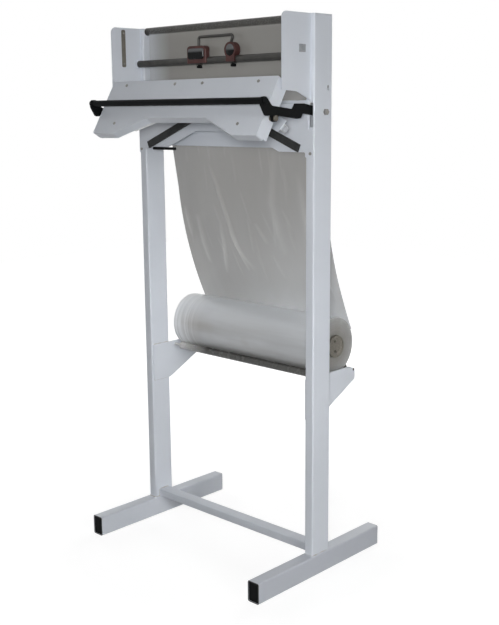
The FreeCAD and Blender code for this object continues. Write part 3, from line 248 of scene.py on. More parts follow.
def bridge(shape, rows, closed=True):
    """Faces between rows of points that follow each other."""
    for near, far in zip(rows, rows[1:]):
        count = len(near)
        for k in range(count if closed else count - 1):
            after = (k + 1) % count
            shape.faces.new((near[k], near[after], far[after], far[k]))


def finish_mesh(name, shape):
    """Object from a mesh under work, smooth but for its sharp edges."""
    bmesh.ops.recalc_face_normals(shape, faces=shape.faces)
    mesh = bpy.data.meshes.new(name)
    shape.to_mesh(mesh)
    shape.free()
    for face in mesh.polygons:
        face.use_smooth = True
    mesh.set_sharp_from_angle(angle=SHARP_ANGLE)
    piece = bpy.data.objects.new(name, mesh)
    bpy.context.scene.collection.objects.link(piece)
    return piece


def weld_run(shape, start, end):
    """One weld along an inside corner, thin at both ends."""
    along = (end - start).normalized()
    side = along.orthogonal().normalized()
    up = along.cross(side)
    steps = round((end - start).length / BEAD_STEP)
    rows = []
    for step in range(steps + 1):
        scale = 1 - SCALE_DROP * (step % SCALE_STEPS)
        taper = min(1.0, BEAD_START + BEAD_GROWTH * step, BEAD_START + BEAD_GROWTH * (steps - step))
        radius = BEAD * scale * taper * random.uniform(1 - BEAD_UNEVEN, 1 + BEAD_UNEVEN)
        centre = start.lerp(end, step / steps)
        row = []
        for k in range(BEAD_SIDES):
            angle = 2 * math.pi * k / BEAD_SIDES
            row.append(shape.verts.new(centre + radius * (math.cos(angle) * side + math.sin(angle) * up)))
        rows.append(row)
    bridge(shape, rows)
    shape.faces.new(rows[0])
    shape.faces.new(rows[-1])


shape = bmesh.new()
tube_low, tube_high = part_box("base_crossbar")
for hand, tube_end in (("left", tube_low.x), ("right", tube_high.x)):
    post_low, post_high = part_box(hand + "_post")
    foot_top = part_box(hand + "_foot")[1].z
    corners = [Vector((post_low.x, post_low.y, foot_top)), Vector((post_high.x, post_low.y, foot_top)),
               Vector((post_high.x, post_high.y, foot_top)), Vector((post_low.x, post_high.y, foot_top))]
    for here, there in zip(corners, corners[1:] + corners[:1]):
        weld_run(shape, here, there)
    for y in (tube_low.y, tube_high.y):
        weld_run(shape, Vector((tube_end, y, tube_low.z)), Vector((tube_end, y, tube_high.z)))
    weld_run(shape, Vector((tube_end, tube_low.y, tube_high.z)), Vector((tube_end, tube_high.y, tube_high.z)))
    plate_low, plate_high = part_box(hand + "_roll_bracket")
    for z in (plate_low.z, plate_high.z):
        weld_run(shape, Vector((tube_end, plate_low.y + BEAD, z)), Vector((tube_end, post_high.y - BEAD, z)))
weld_beads = finish_mesh("weld_beads", shape)
painted_weld = coated("painted_weld", WHITE_DARK, BURNT, BURNT_WORN,
                      patch=24.0, roughness=0.5, peel=ORANGE_PEEL, depth=0.00008)
weld_beads.data.materials.append(painted_weld)
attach(weld_beads, "stand")

# Foot plugs: black plastic caps pressed into the open ends of the foot tubes, with a dull grained face.
# Each has a raised moulded rim round a shallow field, and a skin-thin flange that covers the tube's cut end,
# which is black colour on the tube itself.
PLUG_ROWS = ((0.0, 0.013), (0.0, 0.0008), (0.0008, 0.0), (0.0045, 0.0), (0.006, 0.0014), (0.016, 0.0009))
PLUG_CORNER = 0.0045
TIGHTEST_CORNER = 0.001
CORNER_STEPS = 5
FLANGE = 0.0006
BLACK_LIGHT = (0.005, 0.0055, 0.006)
BLACK_DARK = (0.0035, 0.004, 0.0043)
BLACK_WORN = (0.022, 0.022, 0.023)
plug_points = {}
for vertex in parts["foot_caps"].data.vertices:
    plug_points.setdefault((vertex.co.x > 0, vertex.co.y > 0), []).append(vertex.co)
shape = bmesh.new()
for (on_right, at_rear), points in plug_points.items():
    x_span = (min(point.x for point in points), max(point.x for point in points))
    z_span = (min(point.z for point in points), max(point.z for point in points))
    outer_y = max(point.y for point in points) if at_rear else min(point.y for point in points)
    inward = -1 if at_rear else 1
    rows = []
    for inset, depth in PLUG_ROWS:
        row = []
        bend = max(PLUG_CORNER - inset, TIGHTEST_CORNER)
        for quarter, (x, z) in enumerate(((x_span[1], z_span[1]), (x_span[0], z_span[1]),
                                          (x_span[0], z_span[0]), (x_span[1], z_span[0]))):
            turn_x = 1 if quarter in (0, 3) else -1
            turn_z = 1 if quarter in (0, 1) else -1
            for step in range(CORNER_STEPS + 1):
                angle = math.pi / 2 * (quarter + step / CORNER_STEPS)
                corner_x = x - turn_x * (inset + bend) + bend * math.cos(angle)
                corner_z = z - turn_z * (inset + bend) + bend * math.sin(angle)
                row.append(shape.verts.new((corner_x, outer_y + inward * depth, corner_z)))
        rows.append(row)
    bridge(shape, rows)
    shape.faces.new(rows[0])
    shape.faces.new(rows[-1])
foot_plugs = finish_mesh("foot_plugs", shape)
black_moulding = coated("black_moulding", BLACK_LIGHT, BLACK_DARK, BLACK_WORN,
                        patch=30.0, roughness=0.55, peel=1500.0, depth=0.00003, specular=0.05, edge=0.0005)
foot_plugs.data.materials.append(black_moulding)
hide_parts("foot_caps")
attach(foot_plugs, "stand")

foot_end = -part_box("left_foot")[0].y
nodes, links, colour, foot_tint = reopened(foot_coat)
from_middle = unsigned(nodes, links, own_axes(nodes, links)["Y"])
at_end = laid_over(nodes, links, from_middle, foot_end - 2 * FLANGE, foot_end - FLANGE, 0.0, 1.0)
links.new(mixed(nodes, links, at_end, foot_tint, BLACK_LIGHT), colour)

# Roll cradle: two white brackets carry two grey-black rollers that turn on their journals.
# The rollers are steel tube with a smooth sleeve, painted pale at its left end as a painted reflection.
PALE_TO = 0.2
PALE_FROM = 0.06
SLEEVE_END_REFLECTION = (0.58, 0.575, 0.56)
dress(white_coat, "left_roll_bracket", "right_roll_bracket")
roller_sleeve = coated("roller_sleeve", (0.085, 0.084, 0.078), (0.05, 0.05, 0.046), (0.15, 0.14, 0.12),
                       patch=7.0, roughness=0.24, peel=700.0, depth=0.00002)
roller_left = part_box("front_roller")[0].x
# The sleeve's left end is painted pale, a painted reflection of the bright surroundings.
nodes, links, colour, sleeve_tint = reopened(roller_sleeve)
end_reflection_share = laid_over(nodes, links, own_axes(nodes, links)["X"], roller_left + PALE_FROM,
                   roller_left + PALE_TO, 1.0, 0.0)
links.new(mixed(nodes, links, end_reflection_share, sleeve_tint, SLEEVE_END_REFLECTION), colour)
dress(roller_sleeve, "front_roller", "rear_roller")

# Roll core: a tube wound from grey-brown cardboard strip, which carries the film.
# Its board is dull, with long pressed fibres that can be felt.
CORE_LIGHT = (0.235, 0.22, 0.19)
CORE_DARK = (0.16, 0.15, 0.128)
FIBRE_CELLS = 160.0
FIBRE_DEPTH = 0.0002
core_low, core_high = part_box("roll_core")
roll_low, roll_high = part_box("roll_film")
ROLL_Y = (roll_low.y + roll_high.y) / 2
ROLL_Z = (roll_low.z + roll_high.z) / 2
ROLL_RADIUS = (roll_high.y - roll_low.y) / 2
CORE_RADIUS = (core_high.y - core_low.y) / 2
core_board, nodes, links, shader = start_finish("core_board", roughness=0.85, specular=0.2)
fibres = grain(nodes, links, FIBRE_CELLS, 5.0, (0.2, 1.0, 1.0))
links.new(ramped(nodes, links, fibres, [(0.3, CORE_DARK), (0.7, CORE_LIGHT)]), shader.inputs["Base Color"])
relief(nodes, links, fibres, shader, FIBRE_DEPTH)
dress(core_board, "roll_core")

# Core plugs: fibreboard discs pressed into both ends of the core so that it keeps round.
# Each has a rolled rim and two finger holes to pull it out by.
PLUG_TURN = 64
PLUG_RECESS = 0.003
PLUG_DEPTH = 0.012
PLUG_RIM = ((1.0, 0.0), (0.96, 0.0), (0.9, 0.0006), (0.85, 0.003))
FINGER_HOLE = 0.17
FINGER_REACH = 0.5
FINGER_SIDES = 20
BORE_EASE = 0.0002
core_points = [vertex.co for vertex in parts["roll_core"].data.vertices]
core_bore = min(math.hypot(point.y - ROLL_Y, point.z - ROLL_Z) for point in core_points)


def circle_x(shape, x, y, z, radius, sides):
    """Ring of points about a line along X."""
    angles = [2 * math.pi * k / sides for k in range(sides)]
    return [shape.verts.new((x, y + radius * math.cos(a), z + radius * math.sin(a))) for a in angles]


def loop_edges(shape, row):
    """The edges that run round a closed row of points."""
    return [shape.edges.get(pair) for pair in zip(row, row[1:] + row[:1])]


shape = bmesh.new()
for end, inward in ((core_low.x, 1), (core_high.x, -1)):
    reach = core_bore - BORE_EASE
    rows = [circle_x(shape, end + inward * PLUG_DEPTH, ROLL_Y, ROLL_Z, reach, PLUG_TURN)]
    for share, depth in PLUG_RIM:
        x = end + inward * (PLUG_RECESS + depth)
        rows.append(circle_x(shape, x, ROLL_Y, ROLL_Z, reach * share, PLUG_TURN))
    bridge(shape, rows)
    floor_x = end + inward * (PLUG_RECESS + PLUG_RIM[-1][1])
    front_edges = loop_edges(shape, rows[-1])
    back_edges = loop_edges(shape, rows[0])
    for way in (1, -1):
        hole_z = ROLL_Z + way * FINGER_REACH * reach
        mouth = circle_x(shape, floor_x, ROLL_Y, hole_z, FINGER_HOLE * reach, FINGER_SIDES)
        back = circle_x(shape, end + inward * PLUG_DEPTH, ROLL_Y, hole_z, FINGER_HOLE * reach, FINGER_SIDES)
        bridge(shape, [mouth, back])
        front_edges += loop_edges(shape, mouth)
        back_edges += loop_edges(shape, back)
    bmesh.ops.triangle_fill(shape, use_beauty=True, edges=front_edges)
    bmesh.ops.triangle_fill(shape, use_beauty=True, edges=back_edges)
core_plugs = finish_mesh("core_plugs", shape)
core_plugs.data.materials.append(core_board)
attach(core_plugs, "roll")

# Wound film: clear film in hundreds of layers, so it looks like pale grey wax with long soft streaks.
# It is painted paler on top as painted light, darker below as painted shade, and near-white at its left end
# as a painted rim light.
# Its ends show the layers' edges as fine rings, a few of them standing proud, painted darker towards the
# core, partly as painted shade of the hollow.
ROLL_TURN = 160
END_RINGS = 40
BARREL_STEPS = 60
CORE_EASE = 0.0004
ROLL_EDGE = 0.004
EDGE_SHARE = 0.07
RING_LEAST = 0.0002
RING_WAVE = 0.0016
RING_STEP = 0.0006
BARREL_INSET = 0.005
BARREL_EASE = 0.0003
BARREL_WAVE = 0.00025
STREAK_CELLS = 15.0
STREAK_DEPTH = 0.003
PATCH_CELLS = 6.0
LAYER_CELLS = 80.0
STREAK_TINTS = [(0.32, (0.46, 0.465, 0.465)), (0.5, (0.54, 0.555, 0.57)), (0.7, (0.64, 0.665, 0.69))]
BROWN_PATCH = (0.42, 0.405, 0.38)
TOP_PAINTED_LIGHT = (0.84, 0.87, 0.9)
LOWER_PAINTED_SHADE = (0.42, 0.412, 0.393)
LEFT_END_RIM_LIGHT = (0.97, 0.985, 1.0)
RIM_LIGHT_START = 0.006
RIM_LIGHT_LENGTH = 0.15
RING_TINTS = [(0.0, (0.17, 0.163, 0.147)), (0.35, (0.22, 0.215, 0.2)),
              (0.75, (0.27, 0.27, 0.262)), (1.0, (0.36, 0.365, 0.365))]
ring_profile = []
for step in range(END_RINGS + 1):
    share = step / END_RINGS
    radius = CORE_RADIUS + CORE_EASE + share * (ROLL_RADIUS - CORE_RADIUS - CORE_EASE)
    wave = RING_WAVE * noise.noise(Vector((share * 9, 0.3, 2.1))) ** 2
    creep = RING_LEAST + wave + random.uniform(0, RING_STEP)
    edge = ROLL_EDGE * max(0.0, share - (1 - EDGE_SHARE)) / EDGE_SHARE
    ring_profile.append((radius, creep + edge))


def spun(name, stations, turns, centre_y, centre_z):
    """Surface turned about a line along X, from stations of (x, radius), closed on itself."""
    shape = bmesh.new()
    rows = [circle_x(shape, x, centre_y, centre_z, radius, turns) for x, radius in stations]
    bridge(shape, rows + rows[:1])
    return finish_mesh(name, shape)


left_end = [(roll_low.x + creep, radius) for radius, creep in ring_profile]
right_end = [(roll_high.x - creep, radius) for radius, creep in reversed(ring_profile)]
barrel = []
for step in range(1, BARREL_STEPS):
    x = roll_low.x + BARREL_INSET + step / BARREL_STEPS * (roll_high.x - roll_low.x - 2 * BARREL_INSET)
    wave = BARREL_WAVE * noise.noise(Vector((x * 14, 0.0, 4.0)))
    barrel.append((x, ROLL_RADIUS - BARREL_EASE - wave))
bore = [(right_end[-1][0], CORE_RADIUS + BORE_EASE), (left_end[0][0], CORE_RADIUS + BORE_EASE)]
wound_film = spun("wound_film", left_end + barrel + right_end + bore, ROLL_TURN, ROLL_Y, ROLL_Z)

roll_wax, nodes, links, shader = start_finish("wound_film_wax", roughness=0.3)
shader.inputs["Coat Weight"].default_value = 0.3
shader.inputs["Coat Roughness"].default_value = 0.25
streaks = grain(nodes, links, STREAK_CELLS, 4.0, (0.1, 1.0, 1.0))
side_tint = ramped(nodes, links, streaks, STREAK_TINTS)
patches = grain(nodes, links, PATCH_CELLS, 3.0, (0.5, 1.0, 1.0))
brown = laid_over(nodes, links, patches, 0.48, 0.66, 0.0, 0.75)
side_tint = mixed(nodes, links, brown, side_tint, BROWN_PATCH)
axes = own_axes(nodes, links)
# The roll's upper side is painted paler: painted light.
top_light_share = laid_over(nodes, links, axes["Z"], ROLL_Z + 0.1 * ROLL_RADIUS, ROLL_Z + ROLL_RADIUS, 0.0, 0.95)
side_tint = mixed(nodes, links, top_light_share, side_tint, TOP_PAINTED_LIGHT)
# The roll's lower side is painted darker: painted shade.
lower_shade_share = laid_over(nodes, links, axes["Z"], ROLL_Z - 0.1 * ROLL_RADIUS, ROLL_Z - 0.8 * ROLL_RADIUS, 0.0, 0.6)
side_tint = mixed(nodes, links, lower_shade_share, side_tint, LOWER_PAINTED_SHADE)
# The roll's left end is painted near-white, broken up by the layers: a painted rim light.
near_left = laid_over(nodes, links, axes["X"], roll_low.x + RIM_LIGHT_START, roll_low.x + RIM_LIGHT_LENGTH, 1.0, 0.0)
layer_edges = grain(nodes, links, LAYER_CELLS, 3.0, (1.0, 0.03, 0.03))
layer_edges = laid_over(nodes, links, layer_edges, 0.4, 0.6, 0.4, 1.0)
rim_light_share = joined(nodes, links, "MULTIPLY", near_left, layer_edges)
side_tint = mixed(nodes, links, rim_light_share, side_tint, LEFT_END_RIM_LIGHT)
surface = nodes.new("ShaderNodeNewGeometry")
facing = nodes.new("ShaderNodeSeparateXYZ")
links.new(surface.outputs["True Normal"], facing.inputs["Vector"])
is_end = laid_over(nodes, links, unsigned(nodes, links, facing.outputs["X"]), 0.6, 0.85, 0.0, 1.0)
place = nodes.new("ShaderNodeTexCoord")
from_axis = nodes.new("ShaderNodeVectorMath")
from_axis.operation = "SUBTRACT"
from_axis.inputs[1].default_value = (0.0, ROLL_Y, ROLL_Z)
links.new(place.outputs["Object"], from_axis.inputs[0])
flat = nodes.new("ShaderNodeVectorMath")
flat.operation = "MULTIPLY"
flat.inputs[1].default_value = (0.0, 1.0, 1.0)
links.new(from_axis.outputs["Vector"], flat.inputs[0])
reach = nodes.new("ShaderNodeVectorMath")
reach.operation = "LENGTH"
links.new(flat.outputs["Vector"], reach.inputs[0])
# The ends are painted darker towards the core, partly as painted shade from the core's hollow.
outward = laid_over(nodes, links, reach.outputs["Value"], CORE_RADIUS, ROLL_RADIUS, 0.0, 1.0)
uneven = laid_over(nodes, links, grain(nodes, links, 30.0, 4.0), 0.3, 0.7, -0.12, 0.12)
end_tint = ramped(nodes, links, joined(nodes, links, "ADD", outward, uneven), RING_TINTS)
links.new(mixed(nodes, links, is_end, side_tint, end_tint), shader.inputs["Base Color"])
relief(nodes, links, streaks, shader, STREAK_DEPTH, 0.6)
wound_film.data.materials.append(roll_wax)
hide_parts("roll_film")
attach(wound_film, "roll")

# Film web: one width of thin clear film, drawn off the back of the roll and up over the guide bar.
# It hangs almost straight, with slanting pull creases near the roll, and its cut end hangs in the head.
# It clings to the bar, so it can hardly be seen there.
web_low, web_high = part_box("film_web")
bar_low, bar_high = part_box("top_guide_bar")
BAR_Y = (bar_low.y + bar_high.y) / 2
BAR_Z = (bar_low.z + bar_high.z) / 2
WEB_STANDOFF = 0.0008
LEAVE_ANGLE = math.radians(26)
BEND_RISE = 0.496
BEND_BACK = 0.104
WEB_BOW = 0.025
FILM_END_DROP = 0.206
RISE_STEPS = 40
CLIMB_STEPS = 60
TURN_STEPS = 24
DROP_STEPS = 12
web_turn = (bar_high.y - bar_low.y) / 2 + WEB_STANDOFF
web_start = Vector((0, ROLL_Y + (ROLL_RADIUS + WEB_STANDOFF) * math.cos(LEAVE_ANGLE),
                    ROLL_Z + (ROLL_RADIUS + WEB_STANDOFF) * math.sin(LEAVE_ANGLE)))
turn_rear = BAR_Y + web_turn
web_bend = Vector((0, turn_rear + BEND_BACK, web_start.z + BEND_RISE))
web_line = []
for step in range(RISE_STEPS):
    share = step / RISE_STEPS
    point = web_start.lerp(web_bend, share)
    point.y -= 4 * WEB_BOW * share * (1 - share)
    web_line.append(point)
for step in range(CLIMB_STEPS):
    web_line.append(web_bend.lerp(Vector((0, turn_rear, BAR_Z)), step / CLIMB_STEPS))
for step in range(TURN_STEPS + 1):
    angle = math.pi * step / TURN_STEPS
    web_line.append(Vector((0, BAR_Y + web_turn * math.cos(angle), BAR_Z + web_turn * math.sin(angle))))
for step in range(1, DROP_STEPS + 1):
    web_line.append(Vector((0, BAR_Y - web_turn, BAR_Z - FILM_END_DROP * step / DROP_STEPS)))

WEB_STEP = 0.006
web_points = [web_line[0]]
carried = 0.0
for here, there in zip(web_line, web_line[1:]):
    run = (there - here).length
    reached = WEB_STEP - carried
    while reached <= run:
        web_points.append(here.lerp(there, reached / run))
        reached += WEB_STEP
    carried = (carried + run) % WEB_STEP

# Creases of the web as lines of (x, z), each with its height and half width
CREASES = [
    (((-0.185, 1.44), (-0.136, 1.279), (-0.098, 1.12), (-0.03, 1.027)), 0.0042, 0.008),
    (((-0.162, 1.206), (-0.163, 1.115), (-0.184, 1.004)), 0.0038, 0.009),
    (((-0.124, 1.19), (-0.082, 1.082), (-0.057, 1.024)), 0.004, 0.008),
    (((0.019, 1.219), (0.07, 1.141)), 0.003, 0.009),
    (((-0.28, 1.238), (-0.274, 1.118), (-0.262, 1.037)), 0.003, 0.011),
    (((-0.344, 1.267), (-0.333, 1.141)), 0.0026, 0.009),
    (((0.16, 1.5), (0.12, 1.3), (0.15, 1.1)), 0.0024, 0.018),
    (((0.26, 1.42), (0.28, 1.2), (0.25, 1.0)), 0.0024, 0.016),
]
FINE_CREASES = 34
LEANING_BELOW = 1.35
for fine in range(FINE_CREASES):
    crease_x = random.uniform(-0.36, 0.34)
    crease_z = random.uniform(1.05, 1.6)
    drop = random.uniform(0.05, 0.16)
    lean = random.uniform(-0.02, 0.06) * (crease_z < LEANING_BELOW)
    line = ((crease_x, crease_z), (crease_x + lean, crease_z - drop))
    CREASES.append((line, random.uniform(0.0005, 0.0015), random.uniform(0.004, 0.008)))


def creases_at(z):
    """Creases that cross a height, as (x, height, half width), fading out at the ends of each line."""
    found = []
    for line, top, half_width in CREASES:
        for k, ((xa, za), (xb, zb)) in enumerate(zip(line, line[1:])):
            if zb <= z < za:
                share = (za - z) / (za - zb)
                along = (k + share) / (len(line) - 1)
                found.append((xa + share * (xb - xa), top * math.sin(math.pi * along) ** 0.7, half_width))
    return found


# The film's tones stand in for light and shade: painted shade high up and in the head, painted light low down
# and to the right.
WARM_FILM = Vector((0.226, 0.221, 0.208))
COOL_FILM = Vector((0.56, 0.585, 0.615))
HEAD_FILM = Vector((0.34, 0.334, 0.315))
HEAD_EDGE_FILM = Vector((0.62, 0.65, 0.69))
LOW_PALENESS_CURVE = 1.55


def grown(value, start, full):
    """How far a value has come from start to full, from nought to one."""
    return min(1.0, max(0.0, (value - start) / (full - start)))


def film_tone(x, z, in_head):
    """Colour of the film: brown-grey high up as painted shade, paler and bluer near the roll and to the right
    as painted light; in the head darker to the right as painted shade, and paler and bluer at its left edge.
    """
    if in_head:
        shade = 1 - 0.14 * grown(x, 0.0, 0.3)
        return shade * HEAD_FILM.lerp(HEAD_EDGE_FILM, grown(x, -0.26, -0.36))
    low = grown(z, 1.5, 0.9) ** LOW_PALENESS_CURVE
    rightward = 0.45 + 0.55 * grown(x, -0.22, 0.08)
    right_edge = grown(x, 0.2, 0.36) * grown(z, 1.3, 1.0)
    return WARM_FILM.lerp(COOL_FILM, min(1.0, 0.02 + 0.85 * low * rightward + 0.35 * right_edge))


WEB_COLUMNS = 200
CLING_DROP = 0.012
CLING_COVER = 0.14
WEB_COVER = 0.87
HEAD_PLANE = BAR_Y
CREASE_WHITENING_AND_SHADE = 110.0
SWELL = 0.004
RIPPLE = 0.0011
TAUT_AT_ROLL = 0.02
TAUT_AT_BAR = 0.06
SLACK_RUN = 0.1
slack_low = web_start.z + TAUT_AT_ROLL
slack_high = BAR_Z - TAUT_AT_BAR
shape = bmesh.new()
rows = []
looks = []
for k, point in enumerate(web_points):
    before = web_points[max(k - 1, 0)]
    after = web_points[min(k + 1, len(web_points) - 1)]
    along = (after - before).normalized()
    out = Vector((0, -along.z, along.y))
    slack = min(grown(point.z, slack_low, slack_low + SLACK_RUN),
                grown(point.z, slack_high, slack_high - SLACK_RUN))
    cover = CLING_COVER if point.z > BAR_Z - CLING_DROP else WEB_COVER
    crossing = creases_at(point.z) if point.y > HEAD_PLANE else []
    row = []
    for column in range(WEB_COLUMNS + 1):
        x = web_low.x + column / WEB_COLUMNS * (web_high.x - web_low.x)
        lift = SWELL * noise.noise(Vector((x * 5.0, point.z * 1.6, 1.7)))
        lift += RIPPLE * noise.noise(Vector((x * 26.0, point.z * 5.0, 8.2)))
        crease_whitening_and_shade = 1.0
        for crease_x, height, half_width in crossing:
            across = (x - crease_x) / half_width
            if abs(across) < 3:
                ridge = height * math.exp(-across * across)
                lift += ridge
                # Each crease is painted lighter on its ridge, partly stress-whitening and partly a painted
                # highlight, and darker on its right flank as painted shade.
                crease_whitening_and_shade += CREASE_WHITENING_AND_SHADE * ridge * (1 - 0.8 * across)
        row.append(shape.verts.new(point + out * (slack * lift) + Vector((x, 0, 0))))
        looks.append((*(film_tone(x, point.z, point.y < HEAD_PLANE) * crease_whitening_and_shade), cover))
    rows.append(row)
bridge(shape, rows, closed=False)
film_web = finish_mesh("film_sheet", shape)
look = film_web.data.color_attributes.new("film_look", "FLOAT_COLOR", "POINT")
for k, tone_and_cover in enumerate(looks):
    look.data[k].color = tone_and_cover

SHADOW_SHARE = 0.35
FILM_IOR = 1.45
CLOUD_CELLS = 3.5
CREPE_CELLS = 40.0
CREPE_DEPTH = 0.0012
CLOUD_TINTS = [(0.3, (0.86, 0.84, 0.81)), (0.7, (1.0, 1.0, 1.0))]
clear_film, nodes, links, shader = start_finish("clear_film", roughness=0.3)
painted = nodes.new("ShaderNodeAttribute")
painted.attribute_name = "film_look"
clouds = grain(nodes, links, CLOUD_CELLS, 5.0, (1.0, 1.0, 0.4))
film_tint = nodes.new("ShaderNodeMixRGB")
film_tint.blend_type = "MULTIPLY"
film_tint.inputs["Fac"].default_value = 1.0
links.new(painted.outputs["Color"], film_tint.inputs["Color1"])
links.new(ramped(nodes, links, clouds, CLOUD_TINTS), film_tint.inputs["Color2"])
links.new(film_tint.outputs["Color"], shader.inputs["Base Color"])
ray = nodes.new("ShaderNodeLightPath")
let_through = laid_over(nodes, links, ray.outputs["Is Shadow Ray"], 0.0, 1.0, 1.0, SHADOW_SHARE)
links.new(joined(nodes, links, "MULTIPLY", painted.outputs["Alpha"], let_through), shader.inputs["Alpha"])
shader.inputs["IOR"].default_value = FILM_IOR
crepe = grain(nodes, links, CREPE_CELLS, 4.0, (1.0, 1.0, 0.15))
relief(nodes, links, crepe, shader, CREPE_DEPTH, 0.6)
film_web.data.materials.append(clear_film)
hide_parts("film_web")
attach(film_web, "stand")

# Head frame: two thin cheek plates in front of the posts, white like the stand.
# Brown-grey plastic guide strips are screwed on their inner faces.
dress(white_coat, "left_cheek", "right_cheek")
guide_moulding = coated("guide_strip_moulding", (0.17, 0.158, 0.135), (0.13, 0.12, 0.1), (0.24, 0.225, 0.2),
                        patch=40.0, roughness=0.5, peel=1300.0, depth=0.00004, specular=0.3)
dress(guide_moulding, "cheek_guides")

# Guide bar and hook rail: two dark grey painted steel tubes between the cheeks, scuffed by film and hooks.
# The rail stands in turned sockets, which are painted white with the cheeks.
dark_tube = coated("dark_grey_tube", (0.058, 0.056, 0.051), (0.038, 0.037, 0.034), (0.16, 0.155, 0.15),
                   patch=25.0, roughness=0.36, peel=600.0, depth=0.00002, specular=0.3)
dress(dark_tube, "top_guide_bar", "hook_rail")
dress(white_coat, "rail_sockets")

# Fixed jaw: a white plate screwed on the posts, with black silicone strips along its sloping seal lines.
# A flat cross plate is welded between the posts behind it, and a black strip edges its lower left side.
dress(white_coat, "rear_jaw_plate", "cross_plate")
silicone = coated("silicone_rubber", (0.036, 0.038, 0.038), (0.022, 0.023, 0.023), (0.06, 0.06, 0.06),
                  patch=40.0, roughness=0.6, peel=1100.0, depth=0.00004, specular=0.2)
dress(silicone, "silicone_strips")
dress(black_moulding, "edge_strip")

# Screws: small pan heads with a cross recess, dulled zinc, in the jaw plate, the hood and the guide strips.
# Each is turned to where its driver left it.
HEAD_SIDES = 24
HEAD_HEIGHT = 0.003
HEAD_ROWS = ((1.0, 1.0), (1.0, 0.55), (0.92, 0.2), (0.72, 0.0))
SHANK_RADIUS = 0.0024
SHANK_LENGTH = 0.006
RECESS_REACH = 0.52
RECESS_HALF_WIDTH = 0.13
RECESS_DEPTH = 0.6
RECESS_TAPER = 0.7
SCREW_GAP = 0.002
SAME_FACE = 1e-4
HOOD_LEAN = 2.5


def pan_head(shape, top, out, radius):
    """One screw; top is the middle of its head's flat and out is the way that it faces."""
    turn = random.uniform(0, math.pi)
    across = Matrix.Rotation(turn, 3, out) @ out.orthogonal().normalized()
    up = out.cross(across)

    def ring(reach, drop):
        row = []
        for k in range(HEAD_SIDES):
            angle = 2 * math.pi * k / HEAD_SIDES
            spoke = math.cos(angle) * across + math.sin(angle) * up
            row.append(shape.verts.new(top + reach * spoke - drop * out))
        return row

    rows = [ring(SHANK_RADIUS, HEAD_HEIGHT + SHANK_LENGTH), ring(SHANK_RADIUS, HEAD_HEIGHT)]
    for reach, drop in HEAD_ROWS:
        rows.append(ring(radius * reach, HEAD_HEIGHT * drop))
    bridge(shape, rows)
    shape.faces.new(rows[0])
    tip = RECESS_REACH * radius
    half = RECESS_HALF_WIDTH * radius
    depth = RECESS_DEPTH * HEAD_HEIGHT
    cross = ((tip, -half), (tip, half), (half, half), (half, tip), (-half, tip), (-half, half), (-tip, half),
             (-tip, -half), (-half, -half), (-half, -tip), (half, -tip), (half, -half))
    rim = [shape.verts.new(top + x * across + y * up) for x, y in cross]
    floor = [shape.verts.new(top + RECESS_TAPER * (x * across + y * up) - depth * out) for x, y in cross]
    bridge(shape, [rim, floor])
    shape.faces.new(floor)
    flat_edges = loop_edges(shape, rows[-1]) + loop_edges(shape, rim)
    bmesh.ops.triangle_fill(shape, use_beauty=True, edges=flat_edges)


def head_places(node, out):
    """Where the heads of a CAD node's screws lie: the middle of each outer face and its radius."""
    points = sorted((vertex.co.copy() for vertex in parts[node].data.vertices), key=lambda point: point.x)
    groups = [[points[0]]]
    for before, point in zip(points, points[1:]):
        if point.x - before.x > SCREW_GAP:
            groups.append([])
        groups[-1].append(point)
    found = []
    for group in groups:
        outermost = max(point.dot(out) for point in group)
        rim = [point for point in group if outermost - point.dot(out) < SAME_FACE]
        low = Vector([min(point[axis] for point in rim) for axis in range(3)])
        high = Vector([max(point[axis] for point in rim) for axis in range(3)])
        found.append(((low + high) / 2, (high.x - low.x) / 2))
    return found


jaw_hinge = [joint for joint in frame["record"]["behaviour"]["joints"] if joint["name"] == "jaw_hinge"][0]
hood_slope = math.radians(jaw_hinge["range_deg"][1] - HOOD_LEAN)
FRONT_WAY = Vector((0, -1, 0))
HOOD_WAY = Vector((0, -math.cos(hood_slope), math.sin(hood_slope)))
dull_zinc = coated("dulled_zinc", (0.3, 0.295, 0.28), (0.22, 0.215, 0.2), (0.4, 0.39, 0.37),
                   patch=60.0, roughness=0.45, peel=1400.0, depth=0.00002, metallic=0.7, edge=0.0003)


def screw_set(name, node, out, body):
    """The screws of one CAD node, all in one piece."""
    shape = bmesh.new()
    for top, radius in head_places(node, out):
        pan_head(shape, top, out, radius)
    made = finish_mesh(name, shape)
    made.data.materials.append(dull_zinc)
    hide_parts(node)
    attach(made, body)


screw_set("jaw_plate_pan_heads", "jaw_plate_screws", FRONT_WAY, "stand")
screw_set("hood_pan_heads", "hood_screws", HOOD_WAY, "jaw")

GUIDE_SCREW_RADIUS = 0.004
GUIDE_SCREW_INSET = 0.012
GUIDE_SCREW_PROUD = 0.8
shape = bmesh.new()
guide_low, guide_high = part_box("cheek_guides")
for side, way in ((guide_low.x, 1), (guide_high.x, -1)):
    guide_points = [vertex.co for vertex in parts["cheek_guides"].data.vertices if vertex.co.x * side > 0]
    inner_x = side + way * (max(point.x for point in guide_points) - min(point.x for point in guide_points))
    for z in (guide_low.z + GUIDE_SCREW_INSET, guide_high.z - GUIDE_SCREW_INSET):
        top_x = inner_x + way * HEAD_HEIGHT * GUIDE_SCREW_PROUD
        top = Vector((top_x, (guide_low.y + guide_high.y) / 2, z))
        pan_head(shape, top, Vector((way, 0, 0)), GUIDE_SCREW_RADIUS)
guide_screws = finish_mesh("guide_strip_screws", shape)
guide_screws.data.materials.append(dull_zinc)
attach(guide_screws, "stand")

